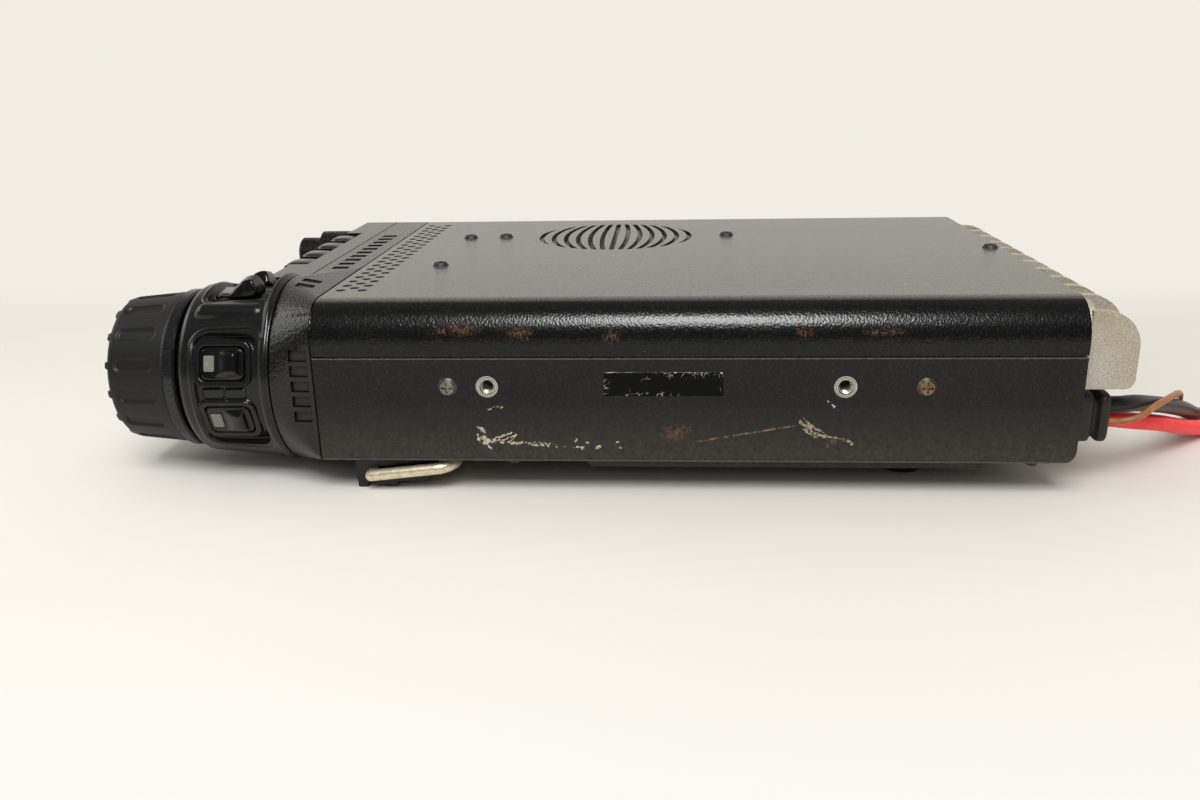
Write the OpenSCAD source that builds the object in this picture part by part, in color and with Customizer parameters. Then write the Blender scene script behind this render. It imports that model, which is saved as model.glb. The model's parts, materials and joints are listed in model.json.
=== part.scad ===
// Compact mobile two way radio with a detachable front panel.
// Lengths in millimetres. Front towards -Y, operator's right towards +X, up +Z.
// The model is drawn from the case: y = 0 at the case's front edge, z = 0 at its underside.
// placed() then moves it so that the origin is under the middle of the object, on the floor.

/* [Case] */
// Width of the case
case_w = 155; // [145:1:170]
// Height of the case without its feet
case_h = 43; // [42:0.5:48]
// Length of the case without front frame and heat sink
case_l = 198.5; // [190:0.5:220]
// Sheet thickness of the two covers
cover_t = 1.2; // [0.8:0.1:1.5]
// Outer radius of the top cover's long edges
corner_r = 10.5; // [8:0.5:11]
// Outer bend radius of the lower case
bend_r = 1.6; // [1.5:0.1:2.5]
// Height of the seam between the two covers
seam_z = 29.2; // [27:0.2:30]
// Width of the seam
seam_gap = 0.5; // [0.3:0.1:0.8]
// Radius of the lower case's rear bottom corner
tail_r = 4; // [2:0.5:5]
// Height of the feet under the case
foot_h = 9; // [8.5:0.5:12]
// Depth of the stiffening pan under the case
pan_d = 3.6; // [2:0.2:4]
// Distance of the stiffening pan from the case's sides
pan_in = 6.5; // [5.5:0.5:15]
// Front end of the stiffening pan
pan_y0 = 69; // [60:1:80]
// Distance of the stiffening pan from the case's rear edge
pan_back = 17.5; // [15:0.5:24]

/* [Vents and grille] */
// Diameter of the round vent holes behind the case's front edge
vent_d = 2.7; // [2:0.1:3]
// Distance between vent holes in one row
vent_pitch = 6.1; // [5:0.1:7]
// Vent holes in a long row
vent_n = 20; // [10:1:20]
// Distance between the three rows
vent_row = 3.05; // [2.9:0.05:3.5]
// Distance of the first row from the front edge
vent_y = 3.2; // [2.5:0.1:4]
// Centre of the loudspeaker grille across the case
grille_x = -30; // [-36:1:-20]
// Centre of the loudspeaker grille along the case
grille_y = 74.8; // [70:0.2:80]
// Radius of the grille's round field
grille_r = 27; // [22:0.5:27.5]
// Distance between grille slots
grille_pitch = 4.3; // [4:0.1:5]
// Width of a grille slot
grille_slot = 1.7; // [1.2:0.1:1.9]
// How flat the bowed slots are
grille_bow = 1.45; // [1.4:0.05:2]

/* [Chassis and heat sink] */
// Thickness of the chassis side rails
rail_t = 4; // [3.5:0.1:5]
// Thickness of the chassis rear wall
rear_t = 4; // [3.5:0.1:5]
// Underside of the board shelf
shelf_z = 13.5; // [13:0.1:14]
// Thickness of the board shelf
shelf_t = 2.5; // [2:0.1:3]
// Depth of the fins behind the case
fin_d = 14.5; // [14.5:0.5:20]
// Thickness of a fin
fin_t = 3; // [2:0.1:4]
// Number of fins
fin_n = 13; // [9:1:15]
// Distance of the outer fins from the case's sides
fin_in = 5.5; // [4.5:0.5:12]
// Lower edge of the fins
fin_z = 18.9; // [18.9:0.1:21]
// Radius at the upper rear end of a fin
fin_top_r = 9.5; // [6:0.5:10]
// Radius at the lower rear end of a fin
fin_low_r = 2.6; // [1:0.2:4]
// Radius of the threaded side holes
side_hole_r = 2; // [1.5:0.1:2.2]
// Depth of the threaded side holes
side_hole_d = 8; // [6:0.5:9]
// Distance between the two threaded holes of a side
side_hole_gap = 92.8; // [80:0.2:100]
// First threaded side hole from the front edge
side_hole_y = 46.1; // [44:0.1:50]
// Height of the side holes and the side screws
side_z = 21.2; // [20:0.1:22]
// Radius of the bare boss around a side hole
side_boss_r = 2.9; // [2.6:0.1:3.4]

/* [Front frame and panel] */
// Depth of the front frame
frame_d = 12.5; // [11.5:0.1:14]
// Wall of the front frame
frame_wall = 1.8; // [1.4:0.1:2.2]
// Gap between the front frame and the panel
joint_gap = 0.4; // [0.3:0.05:0.6]
// Depth of the flat part of the panel
panel_d = 14.6; // [14.2:0.1:16]
// Wall of the panel shell
panel_wall = 2; // [1.6:0.1:2.2]
// How far the panel's flat part stays inside the case outline
panel_inset = 0.7; // [0.4:0.1:1]
// Radius of the panel's left corners
panel_r = 9; // [6:0.5:10]
// Rounding of the panel's front edges
panel_edge_r = 3.5; // [2:0.5:4]
// Dial axis from the case's right side
dial_in = 27; // [26.6:0.1:28]
// Dial axis above the case's underside
dial_z = 19; // [18.6:0.1:19.6]
// Depth of the round dial housing in front of the joint
drum_d = 26.7; // [26.4:0.1:28]
// Radius of the dial housing at the joint
drum_r = 26.2; // [25.8:0.1:26.4]
// Radius of the dial housing at its front shoulder
drum_front_r = 24.2; // [23.9:0.1:24.4]
// Radius of the hollow inside the dial housing
drum_core_r = 19.8; // [19:0.1:20]
// Floor radius of the side key recess
side_floor_r = 23; // [22.8:0.1:23.2]
// Floor radius of the top key recess
top_floor_r = 22.8; // [22.6:0.1:23]

/* [Dial] */
// Gap between the dial and its housing
dial_gap = 1; // [0.8:0.1:2.5]
// Thickness of the dial's trim ring
ring_t = 3.3; // [2:0.1:4]
// Radius of the dial's trim ring
ring_r = 22.7; // [22:0.1:23.5]
// Length of the rubber grip
grip_l = 17; // [16:0.5:20]
// Radius of the grip at its rear end
grip_r = 22; // [21.5:0.1:22.5]
// Radius of the grip at its front shoulder
grip_front_r = 20.6; // [20:0.1:21.4]
// Ribs around the grip's front edge, and hollows around its side
rib_n = 15; // [10:1:18]
// How far the ribs stand out in front
rib_h = 0.7; // [0.4:0.1:1]
// Radius of the dial shaft
shaft_r = 3; // [2.5:0.1:3.5]

/* [Knobs and keys] */
// Distance of the knobs from the case's left side
knob_in = 17.5; // [16:0.5:18.5]
// Upper knob pair below the case's top
knob_drop = 10.4; // [10:0.1:11]
// Height of the lower knob pair
knob_lo_z = 11; // [10.5:0.1:11.5]
// Radius of an outer ring
knob_ring_r = 8.4; // [7.5:0.1:8.6]
// Length of an outer ring
knob_ring_l = 11.6; // [9:0.2:13]
// Radius of an inner knob
knob_r = 6; // [5:0.1:7]
// Length of an inner knob
knob_l = 8.5; // [6:0.5:10]
// Length of a key on the dial housing
key_l = 12.2; // [11:0.1:12.6]
// Width of a side key
side_key_w = 9; // [8:0.1:9.2]
// Width of an arrow key
top_key_w = 7.8; // [7:0.1:8]
// Travel of a key
key_travel = 0.6; // [0.4:0.05:0.6]
// First key of the top row from the dial axis
menu_in = 39.5; // [38:0.5:41]
// Width of a key of the top row
menu_w = 11; // [9:0.1:11.5]

/* [Bail and feet] */
// Diameter of the bail wire
bail_d = 3.2; // [2.5:0.1:3.6]
// Length of the bail's legs
bail_l = 23; // [18:0.5:30]
// Bail pivot from the case's front edge
bail_y = 12.4; // [11.5:0.1:14]
// Bail pivot below the case
bail_drop = 4.8; // [4.4:0.1:5.2]
// Slope of the folded bail in degrees
bail_tilt = 6.5; // [4:0.5:7]

/* [Rear connectors] */
// Height of the connector row
socket_z = 10; // [9.8:0.1:10.2]
// Thread radius of an antenna socket
antenna_r = 7.94; // [7.5:0.02:7.94]
// How far an antenna socket stands out
antenna_l = 13.5; // [10:0.5:14]
// Bore radius of a plug jack
jack_r = 1.8; // [1.3:0.1:2]
// Inside radius of a round control socket
control_r = 4.5; // [4.3:0.1:4.7]
// Strain relief from the case's right side
relief_in = 13.5; // [12.5:0.5:15.5]
// Length of the strain relief behind the case
relief_l = 10.3; // [9:0.1:12]

/* [Clearances] */
// Clearance between fixed pieces
fit = 0.1; // [0.05:0.01:0.15]
// Clearance around pieces that slide
slip = 0.35; // [0.3:0.01:0.4]
// Radial clearance of running shafts
run = 0.05; // [0.02:0.01:0.08]

/* [Hidden] */
$fn = 64;
// A little more than nothing, so that cuts pass clean through faces
eps = 0.01;
// Longer than any piece, for cuts that leave the model
far = 400;

// Places along the object, from the case's front edge
panel_rear = -(frame_d + joint_gap);
panel_front = panel_rear - panel_d;
drum_front = panel_rear - drum_d;
ring_rear = drum_front - dial_gap;
ring_front = ring_rear - ring_t;
grip_rear = ring_front - fit;
grip_front = grip_rear - grip_l;
dial_front = grip_front - rib_h;
sink_rear = case_l + fin_d;
mid_y = (sink_rear + dial_front)/2;
pan_y1 = case_l - pan_back;

// Places across the object, from its middle
half_w = case_w/2;
dial_x = half_w - dial_in;
knob_x = knob_in - half_w;
relief_x = half_w - relief_in;
relief_w = 6;
relief_h = 6.8;
pan_w = case_w - 2*pan_in;
fin_w = case_w - 2*fin_in;
sink_t = 3;

// Heights of the knob pairs
knob_hi_z = case_h - knob_drop;

// Inside of the covers
inside = cover_t + fit;
chassis_w = case_w - 2*inside;
rail_x = chassis_w/2 - rail_t;
shelf_top = shelf_z + shelf_t;
board_t = 1.6;
board_gap = 2;
board_w = chassis_w - 22;
board_y = 34;
board_l = case_l - board_y - 14;
shelf_y = 18;
rail_y = 3;

// Screws
screw_r = 1.5;
head_r = 2.5;
head_h = 1;
side_screw_y = [35.6, case_l - 39.2];
cover_screws = [[22.5, 23.7], [-28.8, 23.7]];
rear_screw_x = -0.9;
rear_screw_y = case_l - rear_t/2 - 1.2;
speaker_reach = 38.7;
bottom_screw_y = [52, case_l - 10];
bottom_screw_x = chassis_w/2 - rail_t/2;
bottom_screw_r = 1.1;
bottom_head_r = 1.9;
bottom_screw_l = 6;
top_screw_l = 9;
speaker_screw_l = 4.5;
screw_room = 3;
post_r = 3;

// Loudspeaker
basket_d = 9;
basket_rim = 1.4;
basket_edge = 2.5;
magnet_l = 5;
strap_w = 12;
cone_d = 6.8;
cone_t = 0.6;

// Cooling slots of the front frame
slot_w = 3.6;
slot_l = 5;
slot_back = 9.5;
slot_pitch = 6.6;
slot_x = concat([for (i = [0:9]) dial_x - 25.6 - i*slot_pitch], [dial_x + 0.5, dial_x + 6.5]);
side_slot_h = 3;
side_slot_pitch = 4.2;
side_slot_top = dial_z + 10.5;
side_slot_back = 6.6;

// Shadow line where the front frame meets the case
shadow_w = 0.5;
shadow_d = 0.8;

// Panel outline and inside
panel_left = -half_w + panel_inset;
panel_low = panel_inset;
panel_top = case_h;
flat_right = dial_x - drum_front_r + 1.5;
channel_h = 13;
back_t = 1.8;
front_in = panel_front + panel_wall;
tongue_w = 8;
tongue_t = 2;
tongue_l = 6;
tongue_in = 24.8;
tongue_x = [panel_left + tongue_in, dial_x];

// Keys on the dial housing: angle from the operator's right, turning up
upper_angle = 18;
lower_angle = -22;
up_angle = 80.5;
down_angle = 103.5;
key_y0 = panel_rear - 19.7;
pocket_drop = 1;
plate_t = 0.9;
hump_r = 3.6;
hump_step = 1.5;
hump_edge = 0.5;
// Rise of the hump's axis above its plate, its length, and the slant of its front in degrees
arrow_hump = [1.65, 7.8, 40];
side_hump = [-0.75, 5.4, 60];
stem_r = 1.4;
stem_l = 3;
window_l = 2.8;
window_w = 4.3;
window_h = 0.9;
window_edge = 1.3;
window_deep = 0.5;
rim_edge = 1.2;
rim_h = 0.55;
bar_w = 2.4;
bar_l = 5.3;
bar_h = 0.5;
bar_angle = -2.2;
side_mid = -3;
side_half = 16.2;
side_corner = 4;
top_from = 62;
top_to = 116;
recess_front = 5.2;
recess_rear = 2.9;

// Keys on the flat front
menu_n = 4;
menu_end = 25.4;
menu_x = dial_x - menu_in;
menu_pitch = (menu_x - knob_x - menu_end)/(menu_n - 1);
menu_z = panel_top - 5.6;
menu_h = 5;
menu_low = menu_z - menu_h/2;
menu_top = panel_top - 0.7;
menu_out = 0.6;
menu_t = 2.1;
menu_back = 1.2;

// Ledge in the panel's upper front edge, in which the top row of keys stands
ledge_l = 8.1;
ledge_d = 2.8;
ledge_t = 1.6;
ledge_end = 2.2;
ledge_y = panel_front + ledge_l;
ledge_z = panel_top - ledge_d;
ledge_x0 = menu_x - (menu_n - 1)*menu_pitch - menu_w/2 - ledge_end;
ledge_x1 = menu_x + menu_w/2 + ledge_end;
shank_top = ledge_z - ledge_t - slip;
key_out = 2.3;
flange_t = 1;
flange_edge = 0.6;
function_w = 12;
function_share = 0.27;
function_h = 4.6;
function_z = panel_low + 5.3;
power_w = 5.6;
power_h = 3;
power_x = knob_x + knob_ring_r - 0.2;
power_z = (knob_hi_z + knob_lo_z)/2;

// Display
view_x0 = knob_x + 14;
view_x1 = dial_x - 30;
view_z0 = panel_low + 10.4;
view_z1 = panel_top - 10.6;
view_lip = 1.2;
view_sunk = 0.3;
function_x = [for (i = [-1:1]) (view_x0 + view_x1)/2 + i*function_share*(view_x1 - view_x0)];
display_t = 6.9;
board_front = front_in + display_t;
panel_board_in = 5;

// Bush, encoders and the hollow shafts of the knobs
bush_front = drum_front - dial_gap + 0.5;
bush_l = 7.4;
encoder_r = 11;
encoder_l = 11;
knob_encoder_w = 11;
knob_encoder_l = display_t - 2.3;
tube_r = 3.5;
pin_r = 2;

// Microphone socket on the left side
mic_w = 13;
mic_y = mic_w/2 + fit;
mic_h = 9;
mic_d = 16;
mic_z = 8.2;
mic_hole_w = 11.7;
mic_hole_h = 6.8;
mic_hole_d = 11;

// Places of the rear connectors across the case, as parts of half its width
ground_x = 0.632*half_w;
cat_x = 0.458*half_w;
data_x = 0.265*half_w;
key_jack_x = 0.103*half_w;
speaker_jack_x = -0.032*half_w;
hf_x = -0.31*half_w;
vhf_x = -0.671*half_w;
control_d = 9;
control_wall = 0.6;
control_edge = 1.8;
jack_d = 11;
jack_wall = 1.2;
jack_edge = 2.4;
flange_h = 1.5;
stud_r = 2;
stud_l = 9;

// Bail and feet
bail_r = bail_d/2;
foot_face = half_w - 3.9;
bail_x = foot_face + slip + bail_r;
foot_in = 12;
bail_pin = 8;
bail_bend = 5;
front_foot_y = 7.6;
front_foot_l = 21.4;
rear_foot_r = 7;
rear_foot_in = 22.5;
rear_foot_back = 22;

// Leads: diameter, and the points that each follows, counted from the middle of the strain relief's end
// and upwards from the floor
red_d = 4.6;
black_d = 4.6;
brown_d = 1.8;
relief_y = case_l + relief_l;
red_steps = [[-3, 0, 16.2], [-3, 4.2, 16.2], [-4.7, 8.4, 15.2], [-8.5, 15, 13.4], [-14, 22.7, 11],
    [-21.2, 31, 7.6], [-27, 37.2, 5.2], [-32, 42.9, 3.4], [-37.5, 50.2, 2.3], [-42.2, 59.7, 2.3],
    [-45, 70.2, 2.3], [-45.4, 81.2, 2.3], [-43, 92.2, 2.3], [-37.5, 102.2, 2.3], [-29, 110, 2.7],
    [-19, 114.4, 3.6], [-14, 115.2, 4], [-8, 115.2, 4]];
black_steps = [[0.5, 0, 21.4], [0.5, 4.2, 21.4], [-2.4, 9.7, 20.8], [-8, 16.2, 18.7], [-15.5, 24, 15.8],
    [-24, 32.3, 12.1], [-31, 37.8, 9], [-38.5, 43.7, 5.4], [-45.8, 50, 2.6], [-51, 58.7, 2.3],
    [-53.7, 70.2, 2.3], [-53.8, 83.2, 2.3], [-50.5, 96.2, 2.3], [-43.5, 107.7, 2.3], [-33.5, 116.2, 2.6],
    [-22, 120.6, 3.6], [-14, 121.2, 4], [-8, 121.2, 4]];
brown_steps = [[3.2, 0, 17.6], [3.2, 4.2, 17.6], [2.8, 8.8, 18.6], [-1.4, 14.8, 20.4], [-10, 23.2, 20.6],
    [-18, 28.2, 18.6], [-26, 32.7, 15.5], [-34, 36.8, 11.4], [-42, 41.9, 6.4], [-50.5, 48.7, 2],
    [-56.5, 57.2, 1], [-59.8, 69.2, 1], [-60.4, 82.2, 1], [-57.5, 97.2, 1], [-50, 110.7, 1],
    [-38.5, 120.7, 1], [-25, 125.5, 2.2], [-15, 126.2, 4], [-8, 126.2, 4]];
plug_x = relief_x - 8;
plug_reach = 120.7;
plug_y = relief_y + plug_reach;
plug_w = 17;
plug_h = 9.6;
plug_l = 22;
plug_hole = 3.4;
plug_step = 5;
plug_tab = 6;

// Moves the model from the case's front edge to the object's own origin
module placed() {
    translate([0, -mid_y, foot_h]) children();
}

// Extrudes a drawing in X and Z along Y
module along_y(y0, y1) {
    translate([0, y1, 0]) rotate([90, 0, 0]) linear_extrude(y1 - y0) children();
}

// Extrudes a drawing in Y and Z along X
module along_x(x0, x1) {
    translate([x0, 0, 0]) rotate([90, 0, 90]) linear_extrude(x1 - x0) children();
}

// Extrudes a drawing in X and Y along Z
module along_z(z0, z1) {
    translate([0, 0, z0]) linear_extrude(z1 - z0) children();
}

// Rectangle from one corner to the other with its own radius at each of the four corners,
// in the order low left, low right, high right, high left
module plate(x0, y0, x1, y1, r) {
    xs = [x0, x1, x1, x0];
    ys = [y0, y0, y1, y1];
    sx = [1, -1, -1, 1];
    sy = [1, 1, -1, -1];
    difference() {
        translate([x0, y0]) square([x1 - x0, y1 - y0]);
        for (i = [0:3])
            if (r[i] > 0) difference() {
                translate([min(xs[i] - sx[i], xs[i] + sx[i]*r[i]), min(ys[i] - sy[i], ys[i] + sy[i]*r[i])])
                    square([r[i] + 1, r[i] + 1]);
                translate([xs[i] + sx[i]*r[i], ys[i] + sy[i]*r[i]]) circle(r[i]);
            }
    }
}

// Outline of the case, drawn in X and Z, moved inwards by an inset
module case_section(inset) {
    low = max(bend_r - inset, 0);
    high = corner_r - inset;
    plate(-half_w + inset, inset, half_w - inset, case_h - inset, [low, low, high, high]);
}

// Wall of a cover, drawn in X and Z
module cover_wall() {
    difference() {
        case_section(0);
        case_section(cover_t);
    }
}

// Screw along +Z with its head's underside at z = 0 and a cross recess in the head
module screw(length, shank_r, cap_r) {
    cross_w = cap_r*0.28;
    difference() {
        union() {
            translate([0, 0, -length]) cylinder(h = length, r = shank_r);
            cylinder(h = head_h, r1 = cap_r, r2 = cap_r*0.72);
        }
        for (turn = [0, 90])
            rotate([0, 0, turn]) translate([-cap_r*0.6, -cross_w/2, head_h*0.35])
                cube([cap_r*1.2, cross_w, head_h]);
    }
}

// Places its children on both sides, mirrored
module both_sides() {
    children();
    mirror([1, 0, 0]) children();
}

// Turns a solid made around Z to lie around the dial axis, which runs along Y
module on_dial_axis() {
    translate([dial_x, 0, dial_z]) rotate([-90, 0, 0]) children();
}

// Turns children that look along +X to an angle around the dial axis
module at_drum(angle) {
    translate([dial_x, 0, dial_z]) rotate([0, -angle, 0]) children();
}

// Sweeps a drawing of radius and Y around the dial axis between two angles
module drum_sector(a0, a1) {
    at_drum(a1) rotate([-90, 0, 0]) rotate_extrude(angle = a1 - a0) children();
}

// Side by side points of a tube: one ring of corners around each point of the route
function unit(v) = v/norm(v);
function heading(p, i) = unit(p[min(i + 1, len(p) - 1)] - p[max(i - 1, 0)]);
function ring(p, i, r, n) =
    let (t = heading(p, i), s = unit(cross([0, 0, 1], t)), u = cross(t, s))
    [for (k = [0:n - 1]) p[i] + r*(cos(360*(k + 0.5)/n)*s + sin(360*(k + 0.5)/n)*u)];

// Route of a lead in the case's coordinates
function led(steps) = [for (p = steps) [relief_x + p[0], relief_y + p[1], p[2] - foot_h]];

// Solid tube with n sides along a route; its corners lie on the lead's own radius
module tube(p, d, n) {
    rings = [for (i = [0:len(p) - 1]) each ring(p, i, d/2, n)];
    last = (len(p) - 1)*n;
    sides = [for (i = [0:len(p) - 2], k = [0:n - 1])
        each [[i*n + k, i*n + (k + 1)%n, (i + 1)*n + k],
            [i*n + (k + 1)%n, (i + 1)*n + (k + 1)%n, (i + 1)*n + k]]];
    ends = concat([for (k = [1:n - 2]) [0, k + 1, k]], [for (k = [1:n - 2]) [last, last + k, last + k + 1]]);
    polyhedron(points = rings, faces = concat(sides, ends));
}

// Lower case: a U of sheet with a pan pressed into its floor
module bottom_case() placed() color("#2a2a2b") difference() {
    union() {
        along_y(0, case_l) difference() {
            cover_wall();
            translate([-far, seam_z - seam_gap/2]) square([2*far, far]);
        }
        along_x(-pan_w/2, pan_w/2) pan_profile(0);
    }
    along_x(-pan_w/2 + cover_t, pan_w/2 - cover_t) pan_profile(cover_t);
    tail_cut();
    both_sides() {
        for (y = [side_hole_y, side_hole_y + side_hole_gap])
            translate([half_w - 2*cover_t, y, side_z]) rotate([0, 90, 0])
                cylinder(h = far, r = side_boss_r + fit);
        for (y = side_screw_y)
            translate([half_w - 2*cover_t, y, side_z]) rotate([0, 90, 0]) cylinder(h = far, r = screw_r + fit);
        for (y = bottom_screw_y)
            translate([bottom_screw_x, y, -1]) cylinder(h = 2*cover_t + 1, r = bottom_screw_r + fit);
    }
    mic_notch();
}

// Notch for the microphone socket in the left wall's front edge
module mic_notch() {
    translate([-far, -1, mic_z - mic_h/2 - fit]) cube([far - rail_x + 1, mic_w + 2*fit + 1, mic_h + 2*fit]);
}

// Cuts the rear bottom corner round
module tail_cut() {
    along_x(-far, far) difference() {
        translate([case_l - tail_r, -far]) square([far, far + tail_r]);
        translate([case_l - tail_r, tail_r]) circle(tail_r);
        translate([case_l - tail_r - 1, tail_r]) square([far, far]);
    }
}

// Side view of the pan, in Y and Z, with slanting ends
module pan_profile(inset) {
    slant = pan_d;
    polygon([[pan_y0 + inset, inset], [pan_y0 + slant + inset, inset - pan_d],
        [pan_y1 - slant - inset, inset - pan_d], [pan_y1 - inset, inset], [pan_y1 - inset, cover_t + inset],
        [pan_y0 + inset, cover_t + inset]]);
}

// Top cover: an inverted U of sheet with rounded long edges, vents and the loudspeaker grille
module top_cover() placed() color("#2c2c2d") difference() {
    along_y(0, case_l) difference() {
        cover_wall();
        translate([-far, -far]) square([2*far, far + seam_z + seam_gap/2]);
    }
    translate([0, 0, case_h - 2*cover_t]) {
        vents();
        grille();
        for (p = concat(cover_screws, [[rear_screw_x, rear_screw_y]],
            [for (s = [-1, 1]) [grille_x, grille_y + s*speaker_reach]]))
            translate([p[0], p[1], 0]) cylinder(h = far, r = screw_r + fit);
    }
}

// Three staggered rows of round holes
module vents() {
    for (row = [0:2], i = [0:vent_n - 1 - row%2])
        translate([(i - (vent_n - 1 - row%2)/2)*vent_pitch, vent_y + row*vent_row, 0])
            cylinder(h = far, d = vent_d, $fn = 24);
}

// Slots across the grille that bow outwards more and more towards its front and rear
module grille() {
    half = floor((grille_r - grille_slot/2)/grille_pitch);
    translate([grille_x, grille_y, 0]) intersection() {
        cylinder(h = far, r = grille_r);
        union() {
            translate([-grille_r, -grille_slot/2, 0]) cube([2*grille_r, grille_slot, far]);
            for (i = [1:half], s = [-1, 1]) grille_arc(s, i*grille_pitch);
        }
    }
}

// One bowed slot: part of a ring whose apex lies at a distance from the grille's centre line
module grille_arc(s, offset) {
    bow_r = grille_bow*grille_r*grille_r/offset;
    translate([0, s*(offset - bow_r), 0]) intersection() {
        difference() {
            cylinder(h = far, r = bow_r + grille_slot/2);
            translate([0, 0, -1]) cylinder(h = far + 2, r = bow_r - grille_slot/2);
        }
        translate([-grille_r, s > 0 ? 0 : -bow_r - grille_slot, 0])
            cube([2*grille_r, bow_r + grille_slot, far]);
    }
}

// Die-cast chassis: side rails, board shelf, rear wall, threaded side bosses
module chassis() placed() color("#b5b1a8") difference() {
    union() {
        along_y(case_l - rear_t, case_l) case_section(inside);
        both_sides() rail();
        translate([-rail_x - eps, shelf_y, shelf_z])
            cube([2*(rail_x + eps), case_l - rear_t - shelf_y + eps, shelf_t]);
        for (p = cover_screws)
            translate([p[0], p[1], shelf_z]) cylinder(h = case_h - inside - shelf_z, r = 2*screw_r + 0.5);
        for (x = [-1, 1]*(board_w/2 - post_r - 1), y = [40, case_l - 22])
            translate([x, y, shelf_z - board_gap]) cylinder(h = shelf_t + 2*board_gap, r = post_r);
    }
    both_sides() {
        for (y = [side_hole_y, side_hole_y + side_hole_gap])
            translate([half_w - side_hole_d, y, side_z]) rotate([0, 90, 0]) cylinder(h = far, r = side_hole_r);
        for (y = side_screw_y)
            translate([rail_x - 4, y, side_z]) rotate([0, 90, 0]) cylinder(h = far, r = screw_r + run);
        for (y = bottom_screw_y)
            translate([bottom_screw_x, y, -1]) cylinder(h = bottom_screw_l + 2, r = bottom_screw_r + run);
    }
    for (p = concat(cover_screws, [[rear_screw_x, rear_screw_y]]))
        translate([p[0], p[1], case_h - top_screw_l - screw_room]) cylinder(h = far, r = screw_r + run);
    for (x = [cat_x, data_x]) rear_notch(x, control_r + control_wall + fit);
    for (x = [key_jack_x, speaker_jack_x]) rear_notch(x, jack_r + jack_wall + fit);
    rear_hole(ground_x, stud_r + fit);
    mic_notch();
    tail_cut();
}

// Side rail with its threaded bosses, which pass through the lower case
module rail() {
    rail_top = seam_z + 2;
    translate([rail_x, rail_y, bend_r + fit])
        cube([rail_t, case_l - rear_t - rail_y + eps, rail_top - bend_r - fit]);
    for (y = [side_hole_y, side_hole_y + side_hole_gap])
        translate([0, y, side_z]) rotate([0, 90, 0]) {
            translate([0, 0, half_w - side_hole_d - 1.5])
                cylinder(h = side_hole_d + 1.5 - inside, r = side_boss_r + 1.6);
            translate([0, 0, rail_x]) cylinder(h = half_w - rail_x, r = side_boss_r);
        }
}

// Heat sink: upright fins on a plate behind the rear wall
module heat_sink() placed() color("#b5b1a8") {
    pitch = (fin_w - fin_t)/(fin_n - 1);
    top = case_h - inside - 0.6;
    along_y(case_l, case_l + sink_t)
        plate(-fin_w/2, fin_z, fin_w/2, top, [0, 0, corner_r - 4.5, corner_r - 4.5]);
    for (i = [0:fin_n - 1])
        along_x(-fin_w/2 + i*pitch, -fin_w/2 + i*pitch + fin_t)
            plate(case_l + sink_t - 1, fin_z, sink_rear, fin_top(i), [0, fin_low_r, fin_top_r, 0]);
}

// Upper end of a fin; the outer two are lower, where the plate's corners are round
function fin_top(i) = case_h - inside - (i == 0 || i == fin_n - 1 ? 2.2 : 0.6);

// Round hole through the rear wall, which also clears the shelf's rear end
module rear_hole(x, r) {
    translate([x, case_l - 12, socket_z]) rotate([-90, 0, 0]) cylinder(h = 14, r = r);
}

// The same hole, open downwards to the lower case
module rear_notch(x, r) {
    rear_hole(x, r);
    translate([x - r, case_l - 12, -1]) cube([2*r, 14, socket_z + 1]);
}

// Flange of a rear socket: round above, with an apron that covers the notch below
module rear_flange(r) {
    cylinder(h = flange_h, r = r);
    translate([-r, 0, 0]) cube([2*r, socket_z - tail_r, flange_h]);
}

// Outline of the dial housing at the joint
module drum_outline(inset) {
    translate([dial_x, dial_z]) circle(drum_r - inset);
}

// Outline of the panel's flat part, drawn in X and Z
module flat_outline(inset) {
    r = panel_r - inset;
    plate(panel_left + inset, panel_low + inset, dial_x, panel_top - inset, [r, 0, 0, r]);
}

// Front frame: joins the case outline to the panel outline
module front_frame() placed() color("#252526") difference() {
    slice = 0.3;
    union() {
        hull() {
            along_y(-frame_d, -frame_d + slice) drum_outline(0);
            along_y(-slice, 0) intersection() {
                case_section(0);
                translate([dial_x - drum_r, 0]) square([far, far]);
            }
        }
        hull() {
            along_y(-frame_d, -frame_d + slice) flat_outline(0);
            along_y(-slice, 0) intersection() {
                case_section(0);
                translate([-far, 0]) square([far + dial_x, far]);
            }
        }
    }
    along_y(-frame_d + frame_wall, 1) intersection() {
        case_section(frame_wall + cover_t);
        union() {
            drum_outline(frame_wall + 0.8);
            flat_outline(frame_wall);
        }
    }
    along_y(-shadow_w, 1) difference() {
        case_section(-1);
        case_section(shadow_d);
    }
    for (x = slot_x) frame_slot(x);
    for (i = [0:4])
        translate([half_w - 3*frame_wall, -side_slot_back, side_slot_top - side_slot_pitch*i - side_slot_h/2])
            cube([far, slot_l, side_slot_h]);
    for (x = tongue_x)
        translate([x - tongue_w/2 - slip, -frame_d - 1, dial_z - tongue_t/2 - slip])
            cube([tongue_w + 2*slip, frame_wall + 2, tongue_t + 2*slip]);
}

// Narrow cooling slot through the top of the front frame
module frame_slot(x) {
    translate([x - slot_w/2, -slot_back, case_h - 3*frame_wall]) cube([slot_w, slot_l, far]);
}

// Circuit boards above and below the shelf
module main_board() placed() color("#2f6b3f")
    translate([-board_w/2, board_y, shelf_top + board_gap]) cube([board_w, board_l, board_t]);

module pa_board() placed() color("#2f6b3f")
    translate([-board_w/2, board_y, shelf_z - board_gap - board_t]) cube([board_w, board_l, board_t]);

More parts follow.
